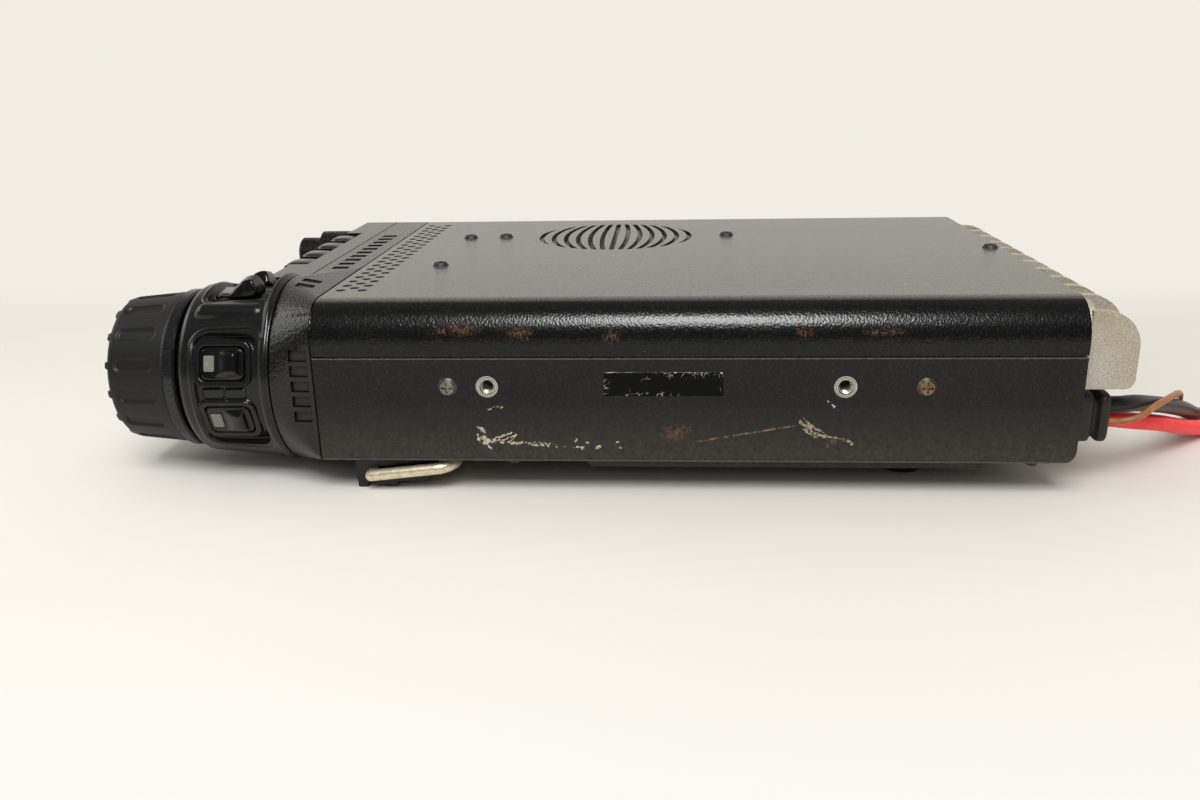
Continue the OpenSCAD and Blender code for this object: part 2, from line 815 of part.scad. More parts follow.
// Loudspeaker basket with its magnet and the strap that two screws hold under the cover
module speaker_frame() placed() color("#7d7f80") translate([grille_x, grille_y, case_h - cover_t]) {
    strap_l = speaker_reach + 2.7*screw_r;
    difference() {
        union() {
            translate([0, 0, -basket_rim]) cylinder(h = basket_rim, r = grille_r + basket_edge);
            translate([0, 0, -basket_d]) cylinder(h = basket_d, r1 = grille_r*0.55, r2 = grille_r + 1);
            translate([-strap_w/2, -strap_l, -basket_rim]) cube([strap_w, 2*strap_l, basket_rim]);
            translate([0, 0, -basket_d - magnet_l]) cylinder(h = magnet_l + eps, r = grille_r*0.5);
        }
        translate([0, 0, -basket_d + 1.6])
            cylinder(h = basket_d - 1.6 + eps, r1 = grille_r*0.55 - 1, r2 = grille_r);
        for (s = [-1, 1]) translate([0, s*speaker_reach, -far/2]) cylinder(h = far, r = screw_r + run);
    }
}

// Paper cone, seated on the basket's rim, with its dust cap
module speaker_cone() placed() color("#3a3a3a") translate([grille_x, grille_y, case_h - cover_t])
    rotate_extrude() polygon([[0, 0.7*cone_t - cone_d], [grille_r*0.3, -cone_d], [grille_r*0.9, -2*cone_t],
        [grille_r*0.91, -cone_t], [grille_r*0.87, -cone_t], [grille_r*0.3, 1.5*cone_t - cone_d],
        [0, 2.3*cone_t - cone_d]]);

// Antenna socket: flange, threaded barrel and centre contact
module antenna_socket(x) {
    translate([x, case_l, socket_z]) rotate([-90, 0, 0]) {
        difference() {
            union() {
                cylinder(h = 1.5, r = antenna_r + 0.5);
                cylinder(h = antenna_l, r = antenna_r);
            }
            translate([0, 0, antenna_l - 9]) cylinder(h = far, r = antenna_r - 1.6);
        }
        difference() {
            translate([0, 0, antenna_l - 9 - eps]) cylinder(h = 7, r = 3);
            translate([0, 0, antenna_l - 8]) cylinder(h = far, r = 2);
        }
    }
}

module hf_antenna_socket() placed() color("#c9c7c0") antenna_socket(hf_x);

module vhf_antenna_socket() placed() color("#c9c7c0") antenna_socket(vhf_x);

// Round control socket in the rear wall, open to the rear
module control_socket(x) {
    translate([x, case_l, socket_z]) rotate([-90, 0, 0]) difference() {
        union() {
            translate([0, 0, -control_d]) cylinder(h = control_d + eps, r = control_r + control_wall);
            rear_flange(control_r + control_edge);
        }
        translate([0, 0, 2.5 - control_d]) cylinder(h = far, r = control_r);
    }
}

module cat_socket() placed() color("#3b3b3d") control_socket(cat_x);

module data_socket() placed() color("#3b3b3d") control_socket(data_x);

// Plug jack in the rear wall, open to the rear
module plug_jack(x) {
    translate([x, case_l, socket_z]) rotate([-90, 0, 0]) difference() {
        union() {
            translate([0, 0, -jack_d]) cylinder(h = jack_d + eps, r = jack_r + jack_wall);
            rear_flange(jack_r + jack_edge);
        }
        translate([0, 0, 2 - jack_d]) cylinder(h = far, r = jack_r);
    }
}

module key_jack() placed() color("#3b3b3d") plug_jack(key_jack_x);

module speaker_jack() placed() color("#3b3b3d") plug_jack(speaker_jack_x);

// Ground terminal: a stud with a round nut
module ground_terminal() placed() color("#b8a878") translate([ground_x, case_l, socket_z]) rotate([-90, 0, 0]) {
    translate([0, 0, -rear_t]) cylinder(h = rear_t + stud_l, r = stud_r);
    cylinder(h = 2*stud_r, r = 2.1*stud_r);
}

// Microphone socket in the left side, open to the left
module mic_jack() placed() color("#1f1f20") difference() {
    translate([-half_w, mic_y - mic_w/2, mic_z - mic_h/2]) cube([mic_d, mic_w, mic_h]);
    translate([-half_w - 1, mic_y - mic_hole_w/2, mic_z - mic_hole_h/2])
        cube([mic_hole_d + 1, mic_hole_w, mic_hole_h]);
}

// Rubber strain relief: two flanges on a neck
module strain_relief() placed() color("#2c2c2c") {
    along_y(case_l, case_l + relief_l) plate(relief_x - 0.7*relief_w, socket_z - 0.7*relief_h,
        relief_x + 0.7*relief_w, socket_z + 0.7*relief_h, [1, 1, 1, 1]);
    for (span = [[0, 0.58], [0.75, 1]])
        along_y(case_l + span[0]*relief_l, case_l + span[1]*relief_l)
            plate(relief_x - relief_w, socket_z - relief_h, relief_x + relief_w, socket_z + relief_h,
                [1.5, 1.5, 1.5, 1.5]);
}

module red_lead() placed() color("#e8434b") tube(led(red_steps), red_d, 10);

module black_lead() placed() color("#202021") tube(led(black_steps), black_d, 10);

module brown_lead() placed() color("#b0703a") tube(led(brown_steps), brown_d, 8);

// Nylon connector on the far end of the leads, lying on the floor
module dc_connector() placed() color("#e6e2d6") difference() {
    union() {
        translate([plug_x, plug_y - plug_w/2, -foot_h]) cube([plug_l, plug_w, plug_h]);
        translate([plug_x + plug_tab, plug_y - plug_tab/2, plug_h - foot_h - eps])
            cube([plug_l/2, plug_tab, 1.6]);
    }
    for (i = [-1:1])
        translate([plug_x + 0.6*plug_l, plug_y + i*plug_step - plug_hole/2, plug_h/2 - foot_h - plug_hole/2])
            cube([far, plug_hole, plug_hole]);
}

// Screws in the sides, the top and the underside
module side_screws() placed() color("#8d8a80") both_sides()
    for (y = side_screw_y)
        translate([half_w, y, side_z]) rotate([0, 90, 0]) screw(inside + rail_t, screw_r, head_r);

module top_screws() placed() color("#1d1d1e") {
    for (p = concat(cover_screws, [[rear_screw_x, rear_screw_y]]))
        translate([p[0], p[1], case_h]) screw(top_screw_l, screw_r, head_r);
    for (s = [-1, 1])
        translate([grille_x, grille_y + s*speaker_reach, case_h]) screw(speaker_screw_l, screw_r, head_r);
}

module bottom_screws() placed() color("#1d1d1e") both_sides()
    for (y = bottom_screw_y)
        translate([bottom_screw_x, y, 0]) mirror([0, 0, 1])
            screw(bottom_screw_l, bottom_screw_r, bottom_head_r);

// Front feet: brackets that carry the bail's ends
module front_feet() placed() color("#1e1e1f") both_sides() difference() {
    along_x(foot_face - foot_in, foot_face) translate([front_foot_y, -foot_h]) scale([front_foot_l, foot_h])
        polygon([[0, 1], [0.02, 0], [0.14, 0], [0.155, 0.2], [0.262, 0.2], [0.27, 0.055], [0.533, 0.055],
            [0.542, 0.19], [0.888, 0.21], [0.98, 0.42], [1, 1]]);
    translate([foot_face - bail_pin - slip, bail_y, -bail_drop]) rotate([0, 90, 0])
        cylinder(h = far, r = bail_r + run);
}

// Rear feet: round pads under the pan
module rear_feet() placed() color("#1e1e1f") both_sides()
    translate([half_w - rear_foot_in, pan_y1 - rear_foot_back, -foot_h])
        cylinder(h = foot_h - pan_d, r1 = 0.92*rear_foot_r, r2 = rear_foot_r);

// Bail: one bent wire, folded under the case, with its ends in the front feet
module bail() placed() color("#b9b19d") translate([0, bail_y, -bail_drop]) rotate([bail_tilt, 0, 0]) {
    both_sides() {
        translate([foot_face - bail_pin, 0, 0]) rotate([0, 90, 0])
            cylinder(h = bail_x - foot_face + bail_pin, r = bail_r);
        translate([bail_x, 0, 0]) sphere(bail_r);
        translate([bail_x, 0, 0]) rotate([-90, 0, 0]) cylinder(h = bail_l - bail_bend, r = bail_r);
        translate([bail_x - bail_bend, bail_l - bail_bend, 0])
            rotate_extrude(angle = 90) translate([bail_bend, 0]) circle(bail_r);
    }
    translate([-(bail_x - bail_bend), bail_l, 0]) rotate([0, 90, 0])
        cylinder(h = 2*(bail_x - bail_bend), r = bail_r);
}

// Inside of the panel, drawn in X and Z: flat part, passage and dial housing
module panel_inside(inset) {
    r = panel_r - panel_wall;
    plate(panel_left + panel_wall + inset, panel_low + panel_wall + inset, flat_right - panel_wall,
        panel_top - panel_wall - inset, [r, 0, 0, r]);
    translate([flat_right - panel_wall - 1, dial_z - channel_h + inset])
        square([dial_x - flat_right + panel_wall + 1, 2*(channel_h - inset)]);
    translate([dial_x, dial_z]) circle(drum_core_r - inset);
}

// Outside of the dial housing, drawn in radius and Y
module drum_profile() {
    edge = 3;
    bead = 1.2;
    polygon([[0, panel_rear], [drum_r, panel_rear], [drum_front_r, drum_front + edge],
        [drum_front_r - edge, drum_front], [0, drum_front]]);
    translate([drum_front_r - edge, drum_front + edge]) circle(edge);
    translate([drum_r - 0.9, panel_rear - bead]) circle(bead);
}

// Panel shell: flat part with rounded edges, round dial housing, key recesses and the brow between them
module panel_shell() placed() color("#1d1d1e") difference() {
    union() {
        intersection() {
            along_y(panel_front, panel_rear) flat_outline(0);
            along_x(panel_left, dial_x) plate(panel_front, panel_low, panel_rear, panel_top,
                [panel_edge_r, 0, 0, panel_edge_r]);
            along_z(panel_low, panel_top) plate(panel_left, panel_front, dial_x, panel_rear,
                [2*panel_edge_r, 0, 0, 0]);
        }
        difference() {
            union() {
                on_dial_axis() rotate_extrude() drum_profile();
                brow();
            }
            side_recess();
        }
        for (angle = [upper_angle, lower_angle]) key_rim(angle);
        recess_bars();
    }
    drum_sector(top_from, top_to) recess_profile(top_floor_r);
    difference() {
        along_y(front_in, panel_rear + 1) difference() {
            panel_inside(0);
            translate([dial_x, dial_z]) circle(drum_core_r);
        }
        translate([ledge_x0 - ledge_t, panel_front, ledge_z - ledge_t])
            cube([ledge_x1 - ledge_x0 + 2*ledge_t, ledge_l + ledge_t, far]);
    }
    translate([ledge_x0, panel_front - 1, ledge_z]) cube([ledge_x1 - ledge_x0, ledge_l + 1, far]);
    for (i = [0:menu_n - 1])
        translate([menu_x - i*menu_pitch - menu_w/2 - slip, panel_front - 1, menu_low - slip])
            cube([menu_w + 2*slip, panel_wall + 2, ledge_z + 1 - menu_low]);
    along_y(drum_front + panel_wall, panel_rear + 1) translate([dial_x, dial_z]) circle(drum_core_r);
    drum_key_hole(upper_angle, side_floor_r, side_key_w);
    drum_key_hole(lower_angle, side_floor_r, side_key_w);
    drum_key_hole(up_angle, top_floor_r, top_key_w);
    drum_key_hole(down_angle, top_floor_r, top_key_w);
    on_dial_axis() translate([0, 0, drum_front - 1]) cylinder(h = panel_wall + 2, r = 2*shaft_r + fit);
    along_y(panel_front - 1, front_in + 1) {
        translate([view_x0, view_z0]) square([view_x1 - view_x0, view_z1 - view_z0]);
        for (x = function_x) translate([x, function_z]) front_hole(function_w, function_h);
        translate([power_x, power_z]) front_hole(power_w, power_h);
    }
    for (z = [knob_hi_z, knob_lo_z])
        translate([knob_x, panel_front - 1, z]) rotate([-90, 0, 0])
            cylinder(h = panel_wall + 2, r = tube_r + run);
    translate([panel_left - 1, latch_y() - 3 - slip, dial_z - 4 - slip])
        cube([panel_wall + 2, 6 + 2*slip, 8 + 2*slip]);
}

// Middle of the latch along Y
function latch_y() = (panel_front + panel_rear)/2;

// Recess that runs around the dial housing, drawn in radius and Y
module recess_profile(floor_r) {
    plate(floor_r, drum_front + recess_front, floor_r + 8, panel_rear - recess_rear, [0.8, 0, 0, 0.8]);
}

// Recess of the two side keys, with rounded corners seen from the side
module side_recess() {
    corners = [side_corner, side_corner, side_corner, side_corner];
    difference() {
        at_drum(side_mid) along_x(0, far)
            plate(drum_front + recess_front, -side_half, panel_rear - recess_rear, side_half, corners);
        on_dial_axis() translate([0, 0, -far/2]) cylinder(h = far, r = side_floor_r);
    }
}

// Raised rim around the pocket of a side key
module key_rim(angle) {
    edge = slip + rim_edge;
    w = side_key_w/2 + edge;
    at_drum(angle) along_x(side_floor_r - pocket_drop, side_floor_r + rim_h)
        plate(key_y0 - edge, -w, key_y0 + key_l + edge, w, [2.6, 2.6, 2.6, 2.6]);
}

// Two short raised bars between the side keys
module recess_bars() {
    at_drum(bar_angle) for (y = [key_y0 + 0.3, key_y0 + bar_l + 1.3])
        along_x(side_floor_r - pocket_drop, side_floor_r + bar_h)
            plate(y, -bar_w/2, y + bar_l, bar_w/2, [0.6, 0.6, 0.6, 0.6]);
}

// Smooth brow between the side keys and the arrow keys
module brow() {
    r = 3;
    y0 = drum_front + 7;
    y1 = panel_rear - 5.6;
    at_drum(54) translate([drum_front_r - 0.8, 0, 0]) {
        translate([0, y0, 0]) sphere(r);
        translate([0, y1, 0]) sphere(r);
        translate([0, y0, 0]) rotate([-90, 0, 0]) cylinder(h = y1 - y0, r = r);
    }
}

// Pocket for a key in a recess, with the hole for its stem
module drum_key_hole(angle, floor_r, w) {
    at_drum(angle) {
        along_x(floor_r - pocket_drop, floor_r + 8)
            plate(key_y0 - slip, -w/2 - slip, key_y0 + key_l + slip, w/2 + slip, [1.8, 1.8, 1.8, 1.8]);
        translate([drum_core_r - 2, key_y0 + key_l/2, 0]) rotate([0, 90, 0]) cylinder(h = 8, r = stem_r + slip);
    }
}

// Rectangular key hole in the flat front
module front_hole(w, h) {
    plate(-w/2 - slip, -h/2 - slip, w/2 + slip, h/2 + slip, [1, 1, 1, 1]);
}

// Panel back: closes the shell and docks into the front frame with two tongues
module panel_back() placed() color("#202021") {
    along_y(panel_rear - back_t, panel_rear) panel_inside(fit);
    for (x = tongue_x)
        translate([x - tongue_w/2, panel_rear - eps, dial_z - tongue_t/2]) cube([tongue_w, tongue_l, tongue_t]);
}

// Clear window in the flat front, seated on the display
module display_window() placed() color("#1a2420")
    along_y(panel_front + view_sunk, front_in) plate(view_x0 + fit, view_z0 + fit, view_x1 - fit, view_z1 - fit,
        [0.5, 0.5, 0.5, 0.5]);

// Display module behind the window
module display_module() placed() color("#8f9a86")
    along_y(front_in, board_front) plate(view_x0 - view_lip, view_z0 - view_lip, view_x1 + view_lip,
        view_z1 + view_lip, [0, 0, 0, 0]);

// Board behind the display
module panel_board() placed() color("#2f6b3f")
    translate([panel_left + panel_wall + panel_board_in, board_front, panel_low + panel_wall + board_gap])
        cube([flat_right - 2*panel_wall - panel_left - panel_board_in - board_gap, board_t,
            panel_top - panel_low - 2*panel_wall - panel_board_in]);

// Threaded bush in the front wall of the dial housing
module dial_bush() placed() color("#c2b280") on_dial_axis() difference() {
    union() {
        translate([0, 0, bush_front]) cylinder(h = bush_l, r = 2*shaft_r);
        translate([0, 0, drum_front + panel_wall]) cylinder(h = 2, r = 3*shaft_r);
    }
    translate([0, 0, drum_front - 10]) cylinder(h = far/10, r = shaft_r + run);
}

// Rotary encoder behind the bush
module dial_encoder() placed() color("#55585a") on_dial_axis()
    translate([0, 0, bush_front + bush_l]) cylinder(h = encoder_l, r = encoder_r);

// Encoders of the two knob pairs, on the panel board
module knob_encoders() placed() color("#55585a")
    for (z = [knob_hi_z, knob_lo_z])
        translate([knob_x - knob_encoder_w/2, board_front - knob_encoder_l, z - knob_encoder_w/2])
            cube([knob_encoder_w, knob_encoder_l, knob_encoder_w]);

// Release latch in the panel's left side
module panel_latch() placed() color("#222223") {
    translate([panel_left - 0.6, latch_y() - 3, dial_z - 4]) cube([panel_wall + 0.6 + slip + eps, 6, 8]);
    translate([panel_left + panel_wall + slip, latch_y() - 3.6, dial_z - 4.6]) cube([flange_t, 7.2, 9.2]);
}

// Dial core with its front plate and finger hollow
module dial_knob() placed() color("#232324") difference() {
    on_dial_axis() {
        translate([0, 0, grip_front + 1.2]) cylinder(h = grip_rear - grip_front - 1.2, r = core_r());
        translate([0, 0, grip_front]) cylinder(h = 1.2 + eps, r1 = core_r() - 0.8, r2 = core_r());
    }
    on_dial_axis() translate([0, 0, grip_front + 3]) cylinder(h = far, r = shaft_r + run);
    translate([dial_x, grip_front - 4.5, dial_z + core_r()*0.55]) sphere(6.5);
}

// Radius of the dial core
function core_r() = grip_front_r - 4.8;

// Rubber grip: a tapered tyre with hollows along its side and ribs on its front edge
module dial_grip() placed() color("#2f3031") difference() {
    shoulder = grip_front + 2;
    on_dial_axis() {
        rotate_extrude() polygon([[core_r() + fit, grip_rear], [grip_r, grip_rear], [grip_front_r, shoulder],
            [grip_front_r - 2, grip_front], [core_r() + fit, grip_front]]);
        for (i = [0:rib_n - 1]) rotate([0, 0, i*360/rib_n + 7]) grip_rib();
    }
    hollow_r = 3;
    sink = 2.35;
    hollow_y0 = shoulder + 2.2;
    hollow_y1 = grip_rear - 4.8;
    for (i = [0:rib_n - 1])
        at_drum(-(i*360/rib_n + 7)) translate([(grip_r + grip_front_r)/2 + sink, 0, 0]) {
            translate([0, hollow_y0, 0]) rotate([-90, 0, 0])
                cylinder(h = hollow_y1 - hollow_y0, r = hollow_r, $fn = 32);
            for (y = [hollow_y0, hollow_y1]) translate([0, y, 0]) sphere(hollow_r, $fn = 32);
        }
}

// One rib on the grip's front edge, lying along the radius
module grip_rib() {
    w = 2;
    translate([core_r() + 2.4, -w/2, grip_front - rib_h]) cube([grip_front_r - core_r() - 3.4, w, 1.8 + rib_h]);
}

// Trim ring behind the grip
module dial_ring() placed() color("#4a4a4c") on_dial_axis() rotate_extrude()
    polygon([[2*shaft_r + 1, ring_rear], [ring_r - 0.6, ring_rear], [ring_r, ring_rear - 0.5],
        [ring_r, ring_front + 0.5], [ring_r - 0.4, ring_front], [2*shaft_r + 1, ring_front]]);

// Steel shaft from the encoder to the dial
module dial_shaft() placed() color("#c9c9c9") on_dial_axis()
    translate([0, 0, grip_front + 3.2]) cylinder(h = bush_front + bush_l - 0.3 - grip_front - 3.2, r = shaft_r);

// Inner knob of a pair, with its shaft
module inner_knob(z) {
    y1 = panel_front - 0.7 - knob_ring_l;
    translate([knob_x, 0, z]) rotate([-90, 0, 0]) {
        difference() {
            translate([0, 0, y1 - 0.4 - knob_l]) union() {
                translate([0, 0, 0.8]) cylinder(h = knob_l - 0.8, r = knob_r);
                cylinder(h = 0.8 + eps, r1 = knob_r - 0.8, r2 = knob_r);
            }
            for (i = [0:17]) rotate([0, 0, 20*i]) translate([knob_r + 0.25, 0, y1 - knob_l - 1])
                cylinder(h = knob_l - 1.6, r = 0.5, $fn = 16);
            translate([-0.5, 1.5, y1 - 1.4 - knob_l]) cube([1, knob_r, 1.5]);
        }
        translate([0, 0, y1 - 1]) cylinder(h = front_in + 1.4 - y1 + 1, r = pin_r);
    }
}

// Outer ring of a pair, with its hollow shaft through the front
module outer_ring(z) {
    y1 = panel_front - 0.7;
    translate([knob_x, 0, z]) rotate([-90, 0, 0]) difference() {
        union() {
            translate([0, 0, y1 - knob_ring_l]) cylinder(h = knob_ring_l, r = knob_ring_r);
            translate([0, 0, y1 - eps]) cylinder(h = front_in + 1 - y1, r = tube_r);
        }
        translate([0, 0, y1 - knob_ring_l - 1]) cylinder(h = far/4, r = pin_r + run);
        for (i = [0:23]) rotate([0, 0, 15*i]) translate([knob_ring_r + 0.2, 0, y1 - knob_ring_l - 1])
            cylinder(h = knob_ring_l - 1, r = 0.5, $fn = 16);
    }
}

module volume_knob() placed() color("#232324") inner_knob(knob_hi_z);

module squelch_ring() placed() color("#29292a") outer_ring(knob_hi_z);

module select_knob() placed() color("#232324") inner_knob(knob_lo_z);

module clarifier_ring() placed() color("#29292a") outer_ring(knob_lo_z);

// Key on the dial housing: base plate, hump, seat for a light window, stem
module drum_key(angle, floor_r, w, hump) {
    base_r = floor_r - pocket_drop + key_travel + 0.25;
    at_drum(angle) difference() {
        union() {
            along_x(base_r, base_r + plate_t)
                plate(key_y0, -w/2, key_y0 + key_l, w/2, [1.5, 1.5, 1.5, 1.5]);
            key_hump(base_r, hump[0], hump[1], hump[2]);
            translate([base_r - stem_l, key_y0 + key_l/2, 0]) rotate([0, 90, 0])
                cylinder(h = stem_l + eps, r = stem_r);
        }
        translate([base_r + plate_t - window_deep, key_y0 + window_edge - fit, -window_w/2 - fit])
            cube([far, window_l + 2*fit, window_w + 2*fit]);
    }
}

// Round-backed hump of a key, with a slanting front
module key_hump(base_r, rise, length, slant) {
    y0 = key_y0 + key_l - length;
    difference() {
        translate([base_r + rise, y0, 0]) rotate([-90, 0, 0]) cylinder(h = length - hump_edge, r = hump_r);
        translate([base_r - far, -far/2, -far/2]) cube([far, far, far]);
        translate([base_r + hump_step, y0, 0]) rotate([0, 0, slant]) translate([0, -far, -far/2])
            cube([far, far, far]);
    }
}

// Pale light window, seated in a key
module key_window(angle, floor_r) {
    base_r = floor_r - pocket_drop + key_travel + 0.25;
    at_drum(angle) along_x(base_r + plate_t - window_deep, base_r + plate_t - window_deep + window_h)
        plate(key_y0 + window_edge, -window_w/2, key_y0 + window_edge + window_l, window_w/2,
            [0.4, 0.4, 0.4, 0.4]);
}

module upper_side_key() placed() color("#202021") drum_key(upper_angle, side_floor_r, side_key_w, side_hump);

module upper_key_window() placed() color("#b9b9a8") key_window(upper_angle, side_floor_r);

module lower_side_key() placed() color("#202021") drum_key(lower_angle, side_floor_r, side_key_w, side_hump);

module lower_key_window() placed() color("#b9b9a8") key_window(lower_angle, side_floor_r);

module up_key() placed() color("#202021") drum_key(up_angle, top_floor_r, top_key_w, arrow_hump);

module up_key_window() placed() color("#b9b9a8") key_window(up_angle, top_floor_r);

module down_key() placed() color("#202021") drum_key(down_angle, top_floor_r, top_key_w, arrow_hump);

// Key in the flat front: cap, and a flange behind the wall that keeps it in
module front_key(x, z, w, h) {
    translate([x, 0, z]) {
        along_y(panel_front - key_out, front_in + slip + eps) plate(-w/2, -h/2, w/2, h/2, [0.8, 0.8, 0.8, 0.8]);
        along_y(front_in + slip, front_in + slip + flange_t)
            plate(-w/2 - flange_edge, -h/2 - flange_edge, w/2 + flange_edge, h/2 + flange_edge, [0, 0, 0, 0]);
    }
}

// Key of the top row: its cap stands in the front wall and reaches back over the ledge
module menu_key(i) placed() color("#3a3a3b") translate([menu_x - i*menu_pitch, 0, 0]) {
    y0 = panel_front - menu_out;
    along_x(-menu_w/2, menu_w/2) {
        plate(y0, menu_low, y0 + menu_t, menu_top, [0.8, 0, 0, 1.2]);
        plate(y0, ledge_z + slip, ledge_y - menu_back, menu_top, [0, 0.3, 1.2, 1.2]);
    }
    along_y(y0 + 1, front_in + slip + eps) plate(-menu_w/2, menu_low, menu_w/2, shank_top, [0, 0, 0, 0]);
    along_y(front_in + slip, front_in + slip + flange_t)
        plate(-menu_w/2 - flange_edge, menu_low - flange_edge, menu_w/2 + flange_edge, shank_top, [0, 0, 0, 0]);
}

module function_key(i) placed() color("#29292a") front_key(function_x[i], function_z, function_w, function_h);

module power_key() placed() color("#29292a") front_key(power_x, power_z, power_w, power_h);

bottom_case();
top_cover();
chassis();
heat_sink();
front_frame();
main_board();
pa_board();
speaker_frame();
speaker_cone();
hf_antenna_socket();
vhf_antenna_socket();
cat_socket();
data_socket();
key_jack();
speaker_jack();
ground_terminal();
mic_jack();
strain_relief();
red_lead();
black_lead();
brown_lead();
dc_connector();
side_screws();
top_screws();
bottom_screws();
front_feet();
rear_feet();
bail();
panel_shell();
panel_back();
display_window();
display_module();
panel_board();
dial_bush();
dial_encoder();
knob_encoders();
panel_latch();
dial_knob();
dial_grip();
dial_ring();
dial_shaft();
volume_knob();
squelch_ring();
select_knob();
clarifier_ring();
upper_side_key();
upper_key_window();
lower_side_key();
lower_key_window();
up_key();
up_key_window();
down_key();
menu_key(0);  // menu_key_1
menu_key(1);  // menu_key_2
menu_key(2);  // menu_key_3
menu_key(3);  // menu_key_4
function_key(0);  // function_key_a
function_key(1);  // function_key_b
function_key(2);  // function_key_c
power_key();
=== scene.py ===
# %% [markdown]
# # A worn mobile two way radio
# The CAD model brings every rigid piece in its right place. This lesson dresses it: first the camera and
# the leads, then the moulded and rubber pieces as surfaces computed with numpy, then one material for
# each real finish, and at the end the floor and the light. Lengths are worked in millimetres from the
# case's front edge and underside, as a maker would measure them, and go into the meshes in metres.

# %% Load the frame
import json
import math

import bmesh
import bpy
import numpy as np
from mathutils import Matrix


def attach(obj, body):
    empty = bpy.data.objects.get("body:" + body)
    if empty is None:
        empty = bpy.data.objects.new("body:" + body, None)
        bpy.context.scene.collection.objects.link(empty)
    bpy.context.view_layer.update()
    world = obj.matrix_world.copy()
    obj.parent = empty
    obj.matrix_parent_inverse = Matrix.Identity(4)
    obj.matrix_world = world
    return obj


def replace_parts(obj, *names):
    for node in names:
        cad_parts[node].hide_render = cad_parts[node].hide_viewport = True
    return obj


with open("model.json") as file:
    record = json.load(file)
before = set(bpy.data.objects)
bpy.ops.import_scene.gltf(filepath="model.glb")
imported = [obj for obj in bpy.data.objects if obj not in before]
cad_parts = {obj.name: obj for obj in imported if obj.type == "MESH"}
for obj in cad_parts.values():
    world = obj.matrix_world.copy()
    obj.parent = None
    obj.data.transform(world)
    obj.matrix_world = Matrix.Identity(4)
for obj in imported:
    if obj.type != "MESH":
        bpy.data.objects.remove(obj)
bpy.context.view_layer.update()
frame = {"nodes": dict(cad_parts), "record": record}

nodes = frame["nodes"]

# %% [markdown]
# ## From case millimetres to the frame
# The frame's origin lies on the floor under the middle of the radio. The case's front edge is a little
# more than 75 mm in front of that middle, and the feet lift the case by 9 mm.

# %% Coordinates
MIDDLE_Y = 75.65
FOOT_HEIGHT = 9.0
CASE_HALF_WIDTH = 77.5
CASE_HEIGHT = 43.0
CASE_LENGTH = 198.5
CORNER_RADIUS = 10.5
DIAL_X, DIAL_Z = 50.5, 19.0


def to_frame(points):
    """Case millimetres to frame metres: shift by the middle and the feet, then divide by a thousand."""
    return (np.asarray(points, float) + [0.0, -MIDDLE_Y, FOOT_HEIGHT])/1000.0


print("case", 2*CASE_HALF_WIDTH, "x", CASE_LENGTH, "x", CASE_HEIGHT, "mm")

# %% [markdown]
# ## Camera
# The photograph was taken from the radio's right side, a little above it, with a wide lens. Place, turn
# and focal length were solved from the case's corners, which are known in millimetres.

# %% Camera
CAMERA_PLACE = (0.33439, 0.01832, 0.11123)
CAMERA_TURN = (71.820, 1.131, 93.688)
camera_data = bpy.data.cameras.new("camera")
camera_data.lens = 31.134
camera_data.sensor_width = 36.0
camera_data.sensor_fit = "HORIZONTAL"
camera_data.clip_start = 0.01
camera = bpy.data.objects.new("camera", camera_data)
bpy.context.scene.collection.objects.link(camera)
camera.location = CAMERA_PLACE
camera.rotation_euler = [math.radians(a) for a in CAMERA_TURN]
bpy.context.scene.camera = camera
print("camera", CAMERA_PLACE)

# %% [markdown]
# ## Meshes from grids
# Every new surface here is a grid of points: two parameters, one point for each pair. Neighbouring points
# make quads. A grid may close on itself in either direction, and cells may be left out to make holes.
# Poles and seams are welded afterwards, and the faces of a closed piece are turned outwards.

# %% Grid helpers
WELD = 1e-7
wears = []


def grid_quads(rows, columns, wrap):
    """Corner indices of the cells between neighbouring grid points, four for each cell."""
    index = np.arange(rows*columns).reshape(rows, columns)
    if "rows" in wrap:
        index = np.vstack([index, index[:1]])
    if "columns" in wrap:
        index = np.hstack([index, index[:, :1]])
    return np.stack([index[:-1, :-1], index[1:, :-1], index[1:, 1:], index[:-1, 1:]], axis=-1)


def new_piece(name, grids, body, slot, finish=None, wrap="", keep=None, closed=True, values=None):
    """Puts a grid of points in case millimetres, or several of one shape, into a mesh that rides on a body.

    wrap names the directions in which a grid closes on itself, keep says which cells stay, and values gives
    a number to each point. The piece wears its slot's finish unless another is named."""
    grids = np.reshape(grids, (-1, *np.shape(grids)[-3:]))
    rows, columns = grids.shape[1:3]
    quads = grid_quads(rows, columns, wrap)
    quads = quads.reshape(-1, 4) if keep is None else quads[keep]
    quads = np.concatenate([quads + number*rows*columns for number in range(len(grids))])
    used, quads = np.unique(quads, return_inverse=True)
    mesh = bpy.data.meshes.new(name)
    mesh.from_pydata(to_frame(grids.reshape(-1, 3)[used]).tolist(), [], quads.reshape(-1, 4).tolist())
    if values is not None:
        layer = mesh.attributes.new("worn", "FLOAT", "POINT")
        layer.data.foreach_set("value", np.ravel(values)[used].astype(np.float32))
    work = bmesh.new()
    work.from_mesh(mesh)
    bmesh.ops.remove_doubles(work, verts=work.verts[:], dist=WELD)
    if closed:
        bmesh.ops.recalc_face_normals(work, faces=work.faces[:])
    work.to_mesh(mesh)
    work.free()
    mesh.polygons.foreach_set("use_smooth", np.ones(len(mesh.polygons), bool))
    made = bpy.data.objects.new(name, mesh)
    bpy.context.scene.collection.objects.link(made)
    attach(made, body)
    wears.append((made, finish or slot))
    print(name, len(mesh.polygons), "faces")
    return made


